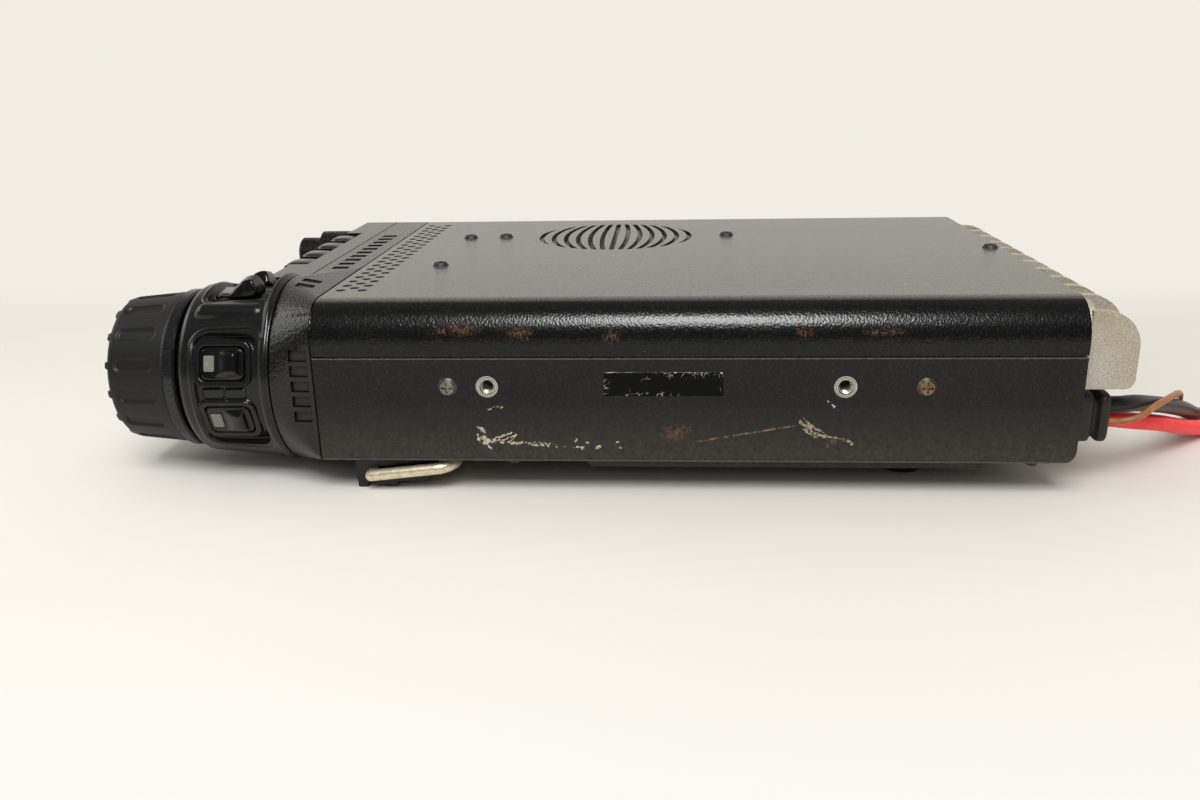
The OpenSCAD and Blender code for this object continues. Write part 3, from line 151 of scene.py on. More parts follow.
def close_ends(rings):
    """A tube of rings, with each end drawn to the middle of its last ring."""
    middles = np.repeat(rings[[0, -1]].mean(axis=1, keepdims=True), rings.shape[1], axis=1)
    return np.concatenate([middles[:1], rings, middles[1:]])


def smooth_step(t):
    """Rises softly from 0 to 1 as t goes from 0 to 1: 3t² - 2t³."""
    t = np.clip(t, 0.0, 1.0)
    return t*t*(3.0 - 2.0*t)


def full_turn(count):
    """That many even steps once around, in radians, without the last, which is the first again."""
    return np.arange(count)*2*np.pi/count


# %% [markdown]
# ## Power leads
# Three vinyl leads leave the rubber strain relief: two thick ones for the supply and a thin one. They
# drop to the floor in a loose bow and end in a nylon connector behind the radio, outside the picture. A
# round tube is carried along a smooth curve through the same points as the CAD route, so it lies where
# its solid lies.

# %% Lead routes
RELIEF_X = 64.0
RELIEF_LENGTH = 10.3
RELIEF_END = np.array([RELIEF_X, CASE_LENGTH + RELIEF_LENGTH, -FOOT_HEIGHT])
RED_STEPS = [[-3, 0, 16.2], [-3, 4.2, 16.2], [-4.7, 8.4, 15.2], [-8.5, 15, 13.4], [-14, 22.7, 11],
             [-21.2, 31, 7.6], [-27, 37.2, 5.2], [-32, 42.9, 3.4], [-37.5, 50.2, 2.3], [-42.2, 59.7, 2.3],
             [-45, 70.2, 2.3], [-45.4, 81.2, 2.3], [-43, 92.2, 2.3], [-37.5, 102.2, 2.3], [-29, 110, 2.7],
             [-19, 114.4, 3.6], [-14, 115.2, 4], [-8, 115.2, 4]]
BLACK_STEPS = [[0.5, 0, 21.4], [0.5, 4.2, 21.4], [-2.4, 9.7, 20.8], [-8, 16.2, 18.7], [-15.5, 24, 15.8],
               [-24, 32.3, 12.1], [-31, 37.8, 9], [-38.5, 43.7, 5.4], [-45.8, 50, 2.6], [-51, 58.7, 2.3],
               [-53.7, 70.2, 2.3], [-53.8, 83.2, 2.3], [-50.5, 96.2, 2.3], [-43.5, 107.7, 2.3],
               [-33.5, 116.2, 2.6], [-22, 120.6, 3.6], [-14, 121.2, 4], [-8, 121.2, 4]]
BROWN_STEPS = [[3.2, 0, 17.6], [3.2, 4.2, 17.6], [2.8, 8.8, 18.6], [-1.4, 14.8, 20.4], [-10, 23.2, 20.6],
               [-18, 28.2, 18.6], [-26, 32.7, 15.5], [-34, 36.8, 11.4], [-42, 41.9, 6.4], [-50.5, 48.7, 2],
               [-56.5, 57.2, 1], [-59.8, 69.2, 1], [-60.4, 82.2, 1], [-57.5, 97.2, 1], [-50, 110.7, 1],
               [-38.5, 120.7, 1], [-25, 125.5, 2.2], [-15, 126.2, 4], [-8, 126.2, 4]]
THICK, THIN = 4.6, 1.8


def smooth_route(points, each=8):
    """Catmull-Rom curve through the points: a cubic for each span, in line with the spans beside it."""
    p = np.asarray(points, float)
    p = np.vstack([2*p[0] - p[1], p, 2*p[-1] - p[-2]])
    t = (np.arange(each)/each)[None, :, None]
    a, b, c, d = (p[k:len(p) - 3 + k, None, :] for k in range(4))
    curve = 0.5*(2*b + (c - a)*t + (2*a - 5*b + 4*c - d)*t**2 + (3*b - a - 3*c + d)*t**3)
    return np.vstack([curve.reshape(-1, 3), p[-2]])


def tube_grid(route, radius, sides):
    """A circle around each route point, square to the route, with the ends drawn to a point."""
    ahead = np.gradient(route, axis=0)
    ahead /= np.linalg.norm(ahead, axis=1, keepdims=True)
    aside = np.cross([0.0, 0.0, 1.0], ahead)
    aside /= np.linalg.norm(aside, axis=1, keepdims=True)
    upward = np.cross(ahead, aside)
    turn = full_turn(sides)[:, None]
    rim = radius*(np.cos(turn)*aside[:, None, :] + np.sin(turn)*upward[:, None, :])
    return close_ends(route[:, None, :] + rim)


# %% Leads
for lead, steps, diameter, sides in (("red_lead", RED_STEPS, THICK, 20),
                                     ("black_lead", BLACK_STEPS, THICK, 20),
                                     ("brown_lead", BROWN_STEPS, THIN, 14)):
    route = smooth_route(RELIEF_END + np.array(steps))
    route[:, 2] = np.maximum(route[:, 2], diameter/2 - FOOT_HEIGHT)
    tube = tube_grid(route, diameter/2, sides)
    piece = new_piece(lead + "_vinyl", tube, "main_unit", lead, wrap="columns")
    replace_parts(piece, lead)

# %% [markdown]
# ## Dial housing
# The round housing behind the dial is one moulding in satin black plastic. On its right side a sunk field
# holds two keys, each in a raised rim, with two small bars between them; on its top a second field holds
# the arrow keys, and a smooth brow lies between. It could be cut from solids, but moulded edges are soft,
# so here it is a height map wrapped around the dial axis: one radius for each angle and each place along
# the axis.

# %% Height map helpers


def box_distance(across, along, half_across, half_along, radius):
    """Distance to a rounded rectangle around zero: negative inside, positive outside."""
    qa = np.abs(across) - half_across + radius
    ql = np.abs(along) - half_along + radius
    outside = np.hypot(np.maximum(qa, 0.0), np.maximum(ql, 0.0))
    return outside + np.minimum(np.maximum(qa, ql), 0.0) - radius


def sunk(distance, width):
    """0 outside an outline, rising softly to 1 at a width inside it."""
    return smooth_step(-distance/width)


def raised(distance, width):
    """1 inside an outline, falling softly to 0 at a width outside it."""
    return 1.0 - smooth_step(distance/width)


def bell(distance, middle, width):
    """A soft ridge: 1 at the middle distance, falling to both sides as exp(-x²)."""
    return np.exp(-((distance - middle)/width)**2)


def soft_max(a, b, blend):
    """The larger of two, with a fillet where they are nearly equal."""
    near = np.maximum(blend - np.abs(a - b), 0.0)/blend
    return np.maximum(a, b) + near*near*blend/4.0


# %% Housing values
HOUSING_REAR, HOUSING_FRONT = -12.9, -39.6
HOUSING_REAR_R, HOUSING_FRONT_R = 26.2, 24.2
HOUSING_EDGE = 3.0
HOUSING_MOUTH_R = 7.0
SIDE_END = HOUSING_FRONT + HOUSING_EDGE
BEAD_R, BEAD_SINK = 1.2, 0.9
SKIN = 0.06
MEAN_R = 24.6
SIDE_FLOOR_R, TOP_FLOOR_R = 23.0, 22.8
FIELD_MIDDLE_Y, FIELD_HALF_L = -25.1, 9.3
FIELD_WALL, LIP_WIDTH = 0.6, 0.45
SIDE_KEY_ANGLES, TOP_KEY_ANGLES = (18.0, -22.0), (80.5, 103.5)
TOP_MIDDLE = 89.0
KEY_MIDDLE_Y = -26.5
POCKET_HALF_L, SIDE_POCKET_HALF_W, TOP_POCKET_HALF_W = 6.45, 4.85, 4.25
POCKET_CORNER, POCKET_DEPTH, POCKET_WALL = 1.8, 0.9, 0.3
FLOOR_CUT = -1.1
ARROW_LIP_RISE, ARROW_LIP_GAP, ARROW_LIP_WIDTH, ARROW_LIP_INSIDE = 0.4, 0.5, 0.35, -0.8
RIM_RISE, RIM_WALL, RIM_CORNER, RIM_SLOPE = 0.55, 1.2, 2.6, 0.5
BAR_RISE, BAR_ANGLE, BAR_PLACES = 0.5, -2.2, (-29.65, -23.35)
BAR_HALF_W, BAR_HALF_L, BAR_CORNER, BAR_SLOPE = 1.2, 2.65, 0.6, 0.4
BROW_ANGLE, BROW_AXIS_R, BROW_R = 54.0, 23.4, 3.0
BROW_REAR, BROW_FRONT, BROW_HALF_TURN, BROW_FILLET = -18.5, -32.6, 0.5, 0.7
COLLAR_Y, COLLAR_RISE, COLLAR_WIDTH, COLLAR_HALF_TURN = -14.5, 0.75, 0.9, 27.0
PANEL_SIDE_X, PANEL_FACE_Y = 38.0, -26.8
FAR_TURN = 1.2


def housing_profile():
    """Radius and Y from the rear rim to the shoulder, round the soft edge and in over the front face."""
    y_side = np.linspace(HOUSING_REAR, SIDE_END, 118)
    r_side = np.interp(y_side, [SIDE_END, HOUSING_REAR], [HOUSING_FRONT_R, HOUSING_REAR_R])
    bead = np.sqrt(np.maximum(BEAD_R**2 - (y_side - HOUSING_REAR + BEAD_R)**2, 0.0))
    r_side = np.where(bead > 0, np.maximum(r_side, HOUSING_REAR_R - BEAD_SINK + bead), r_side)
    bend = np.linspace(0, np.pi/2, 12)[1:]
    r_edge = HOUSING_FRONT_R - HOUSING_EDGE*(1.0 - np.cos(bend))
    y_edge = SIDE_END - HOUSING_EDGE*np.sin(bend)
    r_face = np.linspace(HOUSING_FRONT_R - HOUSING_EDGE, HOUSING_MOUTH_R, 6)[1:]
    y_face = np.full(len(r_face), HOUSING_FRONT)
    return np.concatenate([r_side, r_edge, r_face]), np.concatenate([y_side, y_edge, y_face])


def about_dial(radius, turn, y):
    """Points at a radius and an angle around the dial's axis, at a place along it."""
    return np.stack([DIAL_X + radius*np.cos(turn), y, DIAL_Z + radius*np.sin(turn)], axis=-1)


# %% Housing grid and brow
# The angles run clockwise, so that the faces point outwards, and are closer where the keys are
angles = np.radians(np.concatenate([np.arange(-62, 132, 0.5), np.arange(132, 298, 2.0)]))[::-1]
profile_r, profile_y = housing_profile()
turn, along = np.meshgrid(angles, profile_y, indexing="ij")
radius = np.repeat(profile_r[None, :] + SKIN, len(angles), axis=0)
along_key = along - KEY_MIDDLE_Y
on_side = along > SIDE_END
hole = np.zeros_like(radius, bool)

# Brow: a lying capsule, whose radius follows from the circle equation around its own axis
offset = turn - math.radians(BROW_ANGLE)
beyond = np.maximum(np.maximum(along - BROW_REAR, BROW_FRONT - along), 0.0)
under_root = (BROW_R + SKIN)**2 - beyond**2 - (BROW_AXIS_R*np.sin(offset))**2
brow = np.where((under_root > 0) & (np.abs(offset) < BROW_HALF_TURN),
                BROW_AXIS_R*np.cos(offset) + np.sqrt(np.maximum(under_root, 0.0)), 0.0)
radius = np.where(on_side, soft_max(radius, brow, BROW_FILLET), radius)
print("housing grid", radius.shape)

# %% Housing fields


def lateral(angle_deg, plane_r):
    """Sideways distance on the flat plane at an angle, and how many times its radius a place lies out."""
    offset = np.clip(turn - math.radians(angle_deg), -FAR_TURN, FAR_TURN)
    return plane_r*np.tan(offset), 1.0/np.cos(offset)


def sink_field(radius, angle_deg, half_w, corner, floor_r, lip_rise, lip_gap):
    """The radius with a field sunk to its floor in a soft lip, and the distance to the field's outline."""
    across = MEAN_R*(turn - math.radians(angle_deg))
    field = box_distance(across, along - FIELD_MIDDLE_Y, half_w, FIELD_HALF_L, corner)
    radius = radius + lip_rise*bell(field, lip_gap, LIP_WIDTH)*on_side
    return radius + (floor_r + SKIN - radius)*sunk(field, FIELD_WALL)*on_side, field


# Side field with its rims, pockets and bars
radius, field = sink_field(radius, angle_deg=-3.0, half_w=17.75, corner=4.0, floor_r=SIDE_FLOOR_R,
                           lip_rise=0.28, lip_gap=0.75)
for key_angle in SIDE_KEY_ANGLES:
    across, stretch = lateral(key_angle, SIDE_FLOOR_R + RIM_RISE)
    rim = box_distance(across, along_key, SIDE_POCKET_HALF_W + RIM_WALL, POCKET_HALF_L + RIM_WALL,
                       RIM_CORNER)
    pocket = box_distance(across, along_key, SIDE_POCKET_HALF_W, POCKET_HALF_L, POCKET_CORNER)
    radius += np.maximum((SIDE_FLOOR_R + RIM_RISE + SKIN)*stretch - radius, 0.0)*raised(rim, RIM_SLOPE)
    radius += (SIDE_FLOOR_R - POCKET_DEPTH - radius)*sunk(pocket, POCKET_WALL)
    hole |= pocket < FLOOR_CUT
for bar_y in BAR_PLACES:
    across, stretch = lateral(BAR_ANGLE, SIDE_FLOOR_R + BAR_RISE)
    bar = box_distance(across, along - bar_y, BAR_HALF_W, BAR_HALF_L, BAR_CORNER)
    radius += np.maximum((SIDE_FLOOR_R + BAR_RISE + SKIN)*stretch - radius, 0.0)*raised(bar, BAR_SLOPE)

# Top field with the collar behind it and the pockets of the arrow keys
radius, field = sink_field(radius, angle_deg=TOP_MIDDLE, half_w=11.55, corner=3.0, floor_r=TOP_FLOOR_R,
                           lip_rise=0.3, lip_gap=0.7)
arch = smooth_step(2.0 - np.abs(turn - math.radians(TOP_MIDDLE))/math.radians(COLLAR_HALF_TURN))
radius = radius + COLLAR_RISE*bell(along, COLLAR_Y, COLLAR_WIDTH)*arch*on_side
for key_angle in TOP_KEY_ANGLES:
    across, stretch = lateral(key_angle, TOP_FLOOR_R)
    pocket = box_distance(across, along_key, TOP_POCKET_HALF_W, POCKET_HALF_L, POCKET_CORNER)
    radius += ARROW_LIP_RISE*bell(pocket, ARROW_LIP_GAP, ARROW_LIP_WIDTH)*(field < ARROW_LIP_INSIDE)
    radius += (TOP_FLOOR_R - POCKET_DEPTH - radius)*sunk(pocket, POCKET_WALL)
    hole |= pocket < FLOOR_CUT

# %% Housing surface
# Cells over the pockets' floors and inside the flat panel are left out
housing = about_dial(radius, turn, along)
hole |= (housing[..., 0] < PANEL_SIDE_X) & (along > PANEL_FACE_Y)
hole = np.vstack([hole, hole[:1]])
keep = ~(hole[:-1, :-1] & hole[1:, :-1] & hole[1:, 1:] & hole[:-1, 1:])
new_piece("dial_housing", housing, "panel", "panel_moulding", wrap="rows", keep=keep, closed=False)

# %% [markdown]
# ## Key caps
# The keys on the housing are smooth moulded caps: a flat plate with a small window at its front, and a
# finger hump behind it with a slanted front, a rounded crest and a short fall to the rear. Cut from
# planes, the hump would have hard edges, so its height here is the softened least of its slopes and a
# crest, on rings that shrink from the plate's outline to its middle.

# %% Key cap helpers
CAP_LOW, CAP_PLATE = 0.3, 0.9
CAP_SINK = 0.15
KEY_GAP = 0.35
CAP_ROUND = 0.35
CAP_DRAFT = 0.94
CAP_SQUARE = 0.36


def soft_min(a, b, blend):
    """The smaller of two, with a rounding where they are nearly equal."""
    return -soft_max(-a, -b, blend)


def squarish(turn, power):
    """A circle pushed out towards a square: cosine and sine, with their sizes raised to a power below 1."""
    c, s = np.cos(turn), np.sin(turn)
    return np.sign(c)*np.abs(c)**power, np.sign(s)*np.abs(s)**power


def key_cap(key, angle_deg, floor_r, pocket_half_w, hump):
    """A cap at an angle on the housing: plate plus the softened least of the hump's slopes and crest.

    hump is its crest, the front and rear foot along the axis, the half width, the steepness of front, rear
    and sides, and the rounding."""
    crest, front, rear, side, front_rise, rear_rise, side_rise, blend = hump
    share, around = np.meshgrid(np.linspace(0, 1, 46), full_turn(128), indexing="ij")
    u, v = squarish(around, CAP_SQUARE)
    u, v = share*(POCKET_HALF_L - KEY_GAP)*u, share*(pocket_half_w - KEY_GAP)*v
    lengthwise = soft_min((u - front)*front_rise, (rear - u)*rear_rise, blend)
    crosswise = soft_min((side - np.abs(v))*side_rise, np.full(v.shape, crest), blend)
    height = CAP_PLATE + soft_max(soft_min(lengthwise, crosswise, blend), np.zeros(v.shape), 0.5)
    height = height - CAP_ROUND*np.clip((share - 0.9)/0.1, 0, 1)**2
    u = np.vstack([u, CAP_DRAFT*u[-1:], 0*u[-1:]])
    v = np.vstack([v, CAP_DRAFT*v[-1:], 0*v[-1:]])
    out = floor_r - CAP_SINK + np.vstack([height, CAP_LOW + 0*height[-2:]])
    c, s = math.cos(math.radians(angle_deg)), math.sin(math.radians(angle_deg))
    cap = np.stack([DIAL_X + out*c - v*s, KEY_MIDDLE_Y + u, DIAL_Z + out*s + v*c], axis=-1)
    made = new_piece(f"{key}_cap", cap, f"{key}_button", "gloss_key", wrap="columns")
    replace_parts(made, f"{key}_key")


# %% Key caps
SIDE_HUMP = (1.75, -1.3, 5.0, 3.7, 0.55, 1.7, 1.5, 0.9)
ARROW_HUMP = (4.08, -2.2, 6.2, 3.9, 1.15, 3.2, 3.0, 2.6)
for key, key_angle in zip(("upper_side", "lower_side"), SIDE_KEY_ANGLES):
    key_cap(key, key_angle, SIDE_FLOOR_R, SIDE_POCKET_HALF_W, SIDE_HUMP)
for key, key_angle in zip(("up", "down"), TOP_KEY_ANGLES):
    key_cap(key, key_angle, TOP_FLOOR_R, TOP_POCKET_HALF_W, ARROW_HUMP)

# %% [markdown]
# ## Crowned tops of the menu keys
# The four keys under the display carry on over the panel's top edge as rounded bumps. The CAD key is a
# bent plate, and a low crowned cushion on that plate gives it the round top: rings of a rounded rectangle
# whose height falls off towards the outline.

# %% Menu key tops
MENU_X, MENU_PITCH = 11.0, 15.2
MENU_TOP, MENU_CROWN, MENU_FALL, MENU_THICK = 42.3, 0.7, 0.3, 0.4
MENU_MIDDLE_Y, MENU_HALF_L, MENU_HALF_W = -24.35, 3.75, 4.8
MENU_SQUARE = 0.55
share, around = np.meshgrid(np.linspace(0, 1, 20), full_turn(64), indexing="ij")
across, lengthwise = squarish(around, MENU_SQUARE)
crown_z = MENU_TOP + MENU_CROWN*(1.0 - share**2.6) - MENU_FALL*share**6
for number in range(4):
    crown = np.stack([MENU_X - number*MENU_PITCH + share*MENU_HALF_W*across,
                      MENU_MIDDLE_Y + share*MENU_HALF_L*lengthwise, crown_z], axis=-1)
    under = crown[-1:]*[1, 1, 0] + [0, 0, MENU_TOP - MENU_THICK]
    new_piece(f"menu_top_{number + 1}", close_ends(np.concatenate([crown, under])),
              f"menu_{number + 1}_button", "gloss_key", wrap="columns")

# %% [markdown]
# ## Floors of the frame's slots
# The slots in the front frame are shallow: a dusty black floor lies close under each. The frame's outline
# runs straight from the housing's circle to the case's rounded rectangle, so between them it is the
# weighted mean of the two, and a floor is a thin slab that follows it a little deeper.

# %% Frame outline
FRAME_DEPTH = 12.5
FRAME_R = 26.2
FLAT_PANEL = 8.0


def between(y, at_front, at_rear):
    """The weighted mean of a measure at the frame's front and the same measure at its rear."""
    back = 1.0 + y/FRAME_DEPTH
    return at_front*(1.0 - back) + at_rear*back


def frame_side(y, z):
    """X of the frame's right side: flat up to a height, then a circle, each blended from front to rear."""
    over = np.maximum(z - between(y, DIAL_Z, CASE_HEIGHT - CORNER_RADIUS), 0.0)
    bend = between(y, FRAME_R, CORNER_RADIUS)
    return between(y, DIAL_X + FRAME_R, CASE_HALF_WIDTH) - bend + np.sqrt(bend**2 - over**2)


def frame_top(y, x):
    """Z of the frame's top: level over the flat panel, and by the housing flat and then along a circle."""
    over = np.maximum(x - between(y, DIAL_X, CASE_HALF_WIDTH - CORNER_RADIUS), 0.0)
    bend = between(y, FRAME_R, CORNER_RADIUS)
    by_housing = between(y, DIAL_Z + FRAME_R, CASE_HEIGHT) - bend + np.sqrt(bend**2 - over**2)
    return np.where(x > DIAL_X - FLAT_PANEL, by_housing, CASE_HEIGHT)


# %% Slot floors
SLOT_LENGTH = 5.0
SIDE_SLOT_Y, TOP_SLOT_Y = -6.6, -9.5
SIDE_SLOT_HALF, TOP_SLOT_HALF = 1.55, 1.85
SIDE_FLOOR_DEPTH, TOP_FLOOR_DEPTH = 0.75, 0.4
FLOOR_LAP, SLAB = 0.1, 0.5
SIDE_SLOT_FIRST, SIDE_SLOT_PITCH = 10.5, 4.2
TOP_SLOT_FIRST, TOP_SLOT_PITCH = -25.6, 6.6
CORNER_SLOTS = [0.5, 6.5]
side_slots = DIAL_Z + SIDE_SLOT_FIRST - SIDE_SLOT_PITCH*np.arange(5)
top_slots = DIAL_X + np.concatenate([TOP_SLOT_FIRST - TOP_SLOT_PITCH*np.arange(10), CORNER_SLOTS])


def slot_grid(middle, half, first_y):
    """Y and sideways places of a slot's floor, with a small lap all round."""
    return np.meshgrid(np.linspace(first_y - FLOOR_LAP, first_y + SLOT_LENGTH + FLOOR_LAP, 7),
                       np.linspace(middle - half - FLOOR_LAP, middle + half + FLOOR_LAP, 7), indexing="ij")


floors = []
for middle in side_slots:
    y, z = slot_grid(middle, SIDE_SLOT_HALF, SIDE_SLOT_Y)
    upper = np.stack([frame_side(y, z) - SIDE_FLOOR_DEPTH, y, z], axis=-1)
    floors.append(close_ends(np.concatenate([upper, upper[:, ::-1] - [SLAB, 0, 0]], axis=1)))
for middle in top_slots:
    y, x = slot_grid(middle, TOP_SLOT_HALF, TOP_SLOT_Y)
    upper = np.stack([x, y, frame_top(y, x) - TOP_FLOOR_DEPTH], axis=-1)
    floors.append(close_ends(np.concatenate([upper, upper[:, ::-1] - [0, 0, SLAB]], axis=1)))
new_piece("slot_floors", floors, "main_unit", "relief_rubber", wrap="columns")

# %% [markdown]
# ## Dial grip
# The big tuning dial carries a rubber tyre: a slightly tapered tube with a round shoulder, fifteen long
# hollows for the finger around its side, and fifteen small ribs on its front edge. It is turned like a
# ring on a lathe, as a closed profile carried around the axis, and the hollows and ribs push its points
# in and out.

# %% Grip values
GRIP_REAR, GRIP_FRONT = -44.0, -61.0
GRIP_REAR_R, GRIP_FRONT_R, GRIP_CORE_R = 22.0, 20.6, 15.9
GRIP_SHOULDER = 2.0
GRIP_SIDE_END = GRIP_FRONT + GRIP_SHOULDER
GRIP_COUNT, GRIP_TURN = 15, 7.0
HOLLOW_MIDDLE_Y, HOLLOW_HALF_W, HOLLOW_HALF_L = -52.7, 2.0, 5.9
HOLLOW_CORNER, HOLLOW_DEPTH, HOLLOW_SLOPE = 1.9, 0.62, 0.8
RIB_MIDDLE_R, RIB_HALF_W, RIB_HALF_R, RIB_CORNER, RIB_RISE = 19.2, 1.0, 1.1, 0.5, 0.7
RIB_FACE_Y, RIB_INNER_R, RIB_SLOPE = -59.3, 17.6, 0.4


def grip_profile():
    """Radius and Y once around the tyre's section: rear face, side, round shoulder, front face, bore."""
    bend = np.linspace(0, np.pi/2, 10)[1:]
    side_y = np.linspace(GRIP_REAR - 0.5, GRIP_SIDE_END, 60)
    side_r = np.interp(side_y, [GRIP_SIDE_END, GRIP_REAR], [GRIP_FRONT_R, GRIP_REAR_R])
    shoulder_r = GRIP_FRONT_R - GRIP_SHOULDER*(1.0 - np.cos(bend))
    shoulder_y = GRIP_SIDE_END - GRIP_SHOULDER*np.sin(bend)
    section_r = np.concatenate([[GRIP_CORE_R, 18.0, 20.0, 21.5, 21.85], side_r, shoulder_r,
                                [18.2, 17.8, 17.2, 16.3], np.full(3, GRIP_CORE_R)])
    section_y = np.concatenate([np.full(4, GRIP_REAR), [GRIP_REAR - 0.12], side_y, shoulder_y,
                                np.full(4, GRIP_FRONT), [GRIP_FRONT + 0.4, -55.0, -50.0]])
    return section_r, section_y


# %% Grip surface
turn, section_r = np.meshgrid(full_turn(600), grip_profile()[0], indexing="ij")
grip_y = np.repeat(grip_profile()[1][None, :], len(turn), axis=0)
pitch = 2*np.pi/GRIP_COUNT
phase = (turn + math.radians(GRIP_TURN) + pitch/2) % pitch - pitch/2
across = section_r*phase
hollow = box_distance(across, grip_y - HOLLOW_MIDDLE_Y, HOLLOW_HALF_W, HOLLOW_HALF_L, HOLLOW_CORNER)
on_side = (section_r > GRIP_CORE_R + 1.0)*(grip_y < GRIP_REAR - 2.0)*(grip_y > GRIP_SIDE_END)
grip_r = section_r - HOLLOW_DEPTH*smooth_step(0.1 - hollow/HOLLOW_SLOPE)*on_side
rib = box_distance(across, grip_r - RIB_MIDDLE_R, RIB_HALF_W, RIB_HALF_R, RIB_CORNER)
lift = RIB_RISE*raised(rib + 0.25, RIB_SLOPE)*(grip_y < RIB_FACE_Y)*(section_r > RIB_INNER_R)
grip = about_dial(grip_r, turn, grip_y - lift)
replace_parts(new_piece("grip_tyre", grip, "dial", "grip_rubber", wrap="rows and columns"), "dial_grip")

# %% [markdown]
# ## Rubber strain relief
# Where the leads leave the case, a black rubber bush with two flanges holds them. It is a rounded
# rectangle carried along the lead's direction: the two flanges are wide places in that loft, with soft
# edges.

# %% Strain relief
SOCKET_Z = 10.0
RELIEF_HALF_W, RELIEF_HALF_H = 6.0, 6.8
RELIEF_SQUARE = 0.32
relief_y = [0, 0, 0.25, 0.6, 5.1, 5.6, 5.95, 6.0, 7.7, 7.75, 8.1, 8.5, 9.6, 10.0, RELIEF_LENGTH,
            RELIEF_LENGTH]
relief_size = [0, 0.93, 0.98, 1, 1, 0.98, 0.92, 0.7, 0.7, 0.92, 0.98, 1, 1, 0.98, 0.93, 0]
size, turn = np.meshgrid(relief_size, full_turn(64), indexing="ij")
across, upward = squarish(turn, RELIEF_SQUARE)
y = CASE_LENGTH + np.repeat(np.array(relief_y)[:, None], turn.shape[1], axis=1)
relief = np.stack([RELIEF_X + size*RELIEF_HALF_W*across, y, SOCKET_Z + size*RELIEF_HALF_H*upward], axis=-1)
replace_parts(new_piece("relief_bush", relief, "main_unit", "relief_rubber", wrap="columns"), "strain_relief")

# %% [markdown]
# ## Rear feet
# Two round rubber pads under the pan carry the rear. Each is a lathe profile with a soft rim.

# %% Rear feet
FOOT_X, FOOT_Y = 55.0, 159.0
foot_r = [0, 5.2, 5.9, 6.3, 6.44, 6.6, 6.85, 7.0, 7.0, 0]
foot_z = [-9.0, -9.0, -8.9, -8.6, -8.2, -6.6, -4.6, -3.9, -3.6, -3.6]
r, turn = np.meshgrid(foot_r, full_turn(48), indexing="ij")
z = np.repeat(np.array(foot_z)[:, None], turn.shape[1], axis=1)
feet = [np.stack([x + r*np.cos(turn), FOOT_Y + r*np.sin(turn), z], axis=-1) for x in (-FOOT_X, FOOT_X)]
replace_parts(new_piece("foot_pads", feet, "main_unit", "relief_rubber", wrap="columns"), "rear_feet")

# %% [markdown]
# ## Wear on the right side
# The paint on this side is chipped down to its cream primer, and rust has come through in places. Each
# mark is a thin flake that lies on the case: a field of distances to short strokes, roughened with smooth
# noise, and only the cells inside it are kept. The points along its edge are pulled onto the outline, so
# the edge isn't stepped.

# %% Wear helpers
FLAKE_CELL, FLAKE_LIFT, FLAKE_LOSS = 0.07, 0.02, 0.06
LATTICE = 256


def case_side_x(height):
    """The case's right outline: straight up to the rounded corner, then along its circle."""
    up = np.maximum(height - (CASE_HEIGHT - CORNER_RADIUS), 0.0)
    flat = CASE_HALF_WIDTH - CORNER_RADIUS
    return np.where(up > 0, flat + np.sqrt(np.maximum(CORNER_RADIUS**2 - up**2, 0.0)), CASE_HALF_WIDTH)


def value_noise(a, b, size, seed):
    """Smooth noise from -1 to 1: random values on a lattice of that size, blended between its points."""
    lattice = np.random.default_rng(seed).uniform(-1, 1, (LATTICE, LATTICE))
    u, v = a/size, b/size
    i, j = np.floor(u).astype(int), np.floor(v).astype(int)
    s, t = smooth_step(u - i), smooth_step(v - j)
    i, j, next_i, next_j = i % LATTICE, j % LATTICE, (i + 1) % LATTICE, (j + 1) % LATTICE
    near = lattice[i, j]*(1 - s) + lattice[next_i, j]*s
    next_row = lattice[i, next_j]*(1 - s) + lattice[next_i, next_j]*s
    return near*(1 - t) + next_row*t


def scratch(a, b, width, route):
    """How far inside a bent scratch of that half width each place lies; negative outside. It is the least
    distance to any of its straight runs, taken from the half width."""
    away = np.full(a.shape, np.inf)
    for first, last in zip(route[:-1], route[1:]):
        run = np.subtract(last, first)
        share = np.clip(((a - first[0])*run[0] + (b - first[1])*run[1])/(run @ run), 0, 1)
        away = np.minimum(away, np.hypot(a - first[0] - share*run[0], b - first[1] - share*run[1]))
    return width - away


def flakes(name, marks, rough, seed, finish):
    """A thin sheet on the case's right side where any mark, roughened with noise, is positive."""
    corners = np.vstack([route for width, route in marks])
    low, high = corners.min(axis=0) - 1.5, corners.max(axis=0) + 1.5
    a, b = np.meshgrid(*(np.arange(low[k], high[k], FLAKE_CELL) for k in range(2)), indexing="ij")
    ragged = value_noise(a, b, 0.6, seed) + 1.5*value_noise(a, b, 0.24, seed + 1)
    inside = np.max([scratch(a, b, *mark) for mark in marks], axis=0) + rough*ragged - FLAKE_LOSS
    kept = inside > 0
    keep = kept[:-1, :-1] | kept[1:, :-1] | kept[1:, 1:] | kept[:-1, 1:]
    slope_a, slope_b = np.gradient(inside, FLAKE_CELL)
    steep = np.maximum(slope_a**2 + slope_b**2, 0.05)
    pull = np.where(inside < 0, -inside/steep, 0.0)
    a = a + np.clip(pull*slope_a, -FLAKE_CELL, FLAKE_CELL)
    b = b + np.clip(pull*slope_b, -FLAKE_CELL, FLAKE_CELL)
    points = np.stack([case_side_x(b) + FLAKE_LIFT, a, b], axis=-1)
    new_piece(name, points, "main_unit", "case_paint", finish, keep=keep, closed=False)


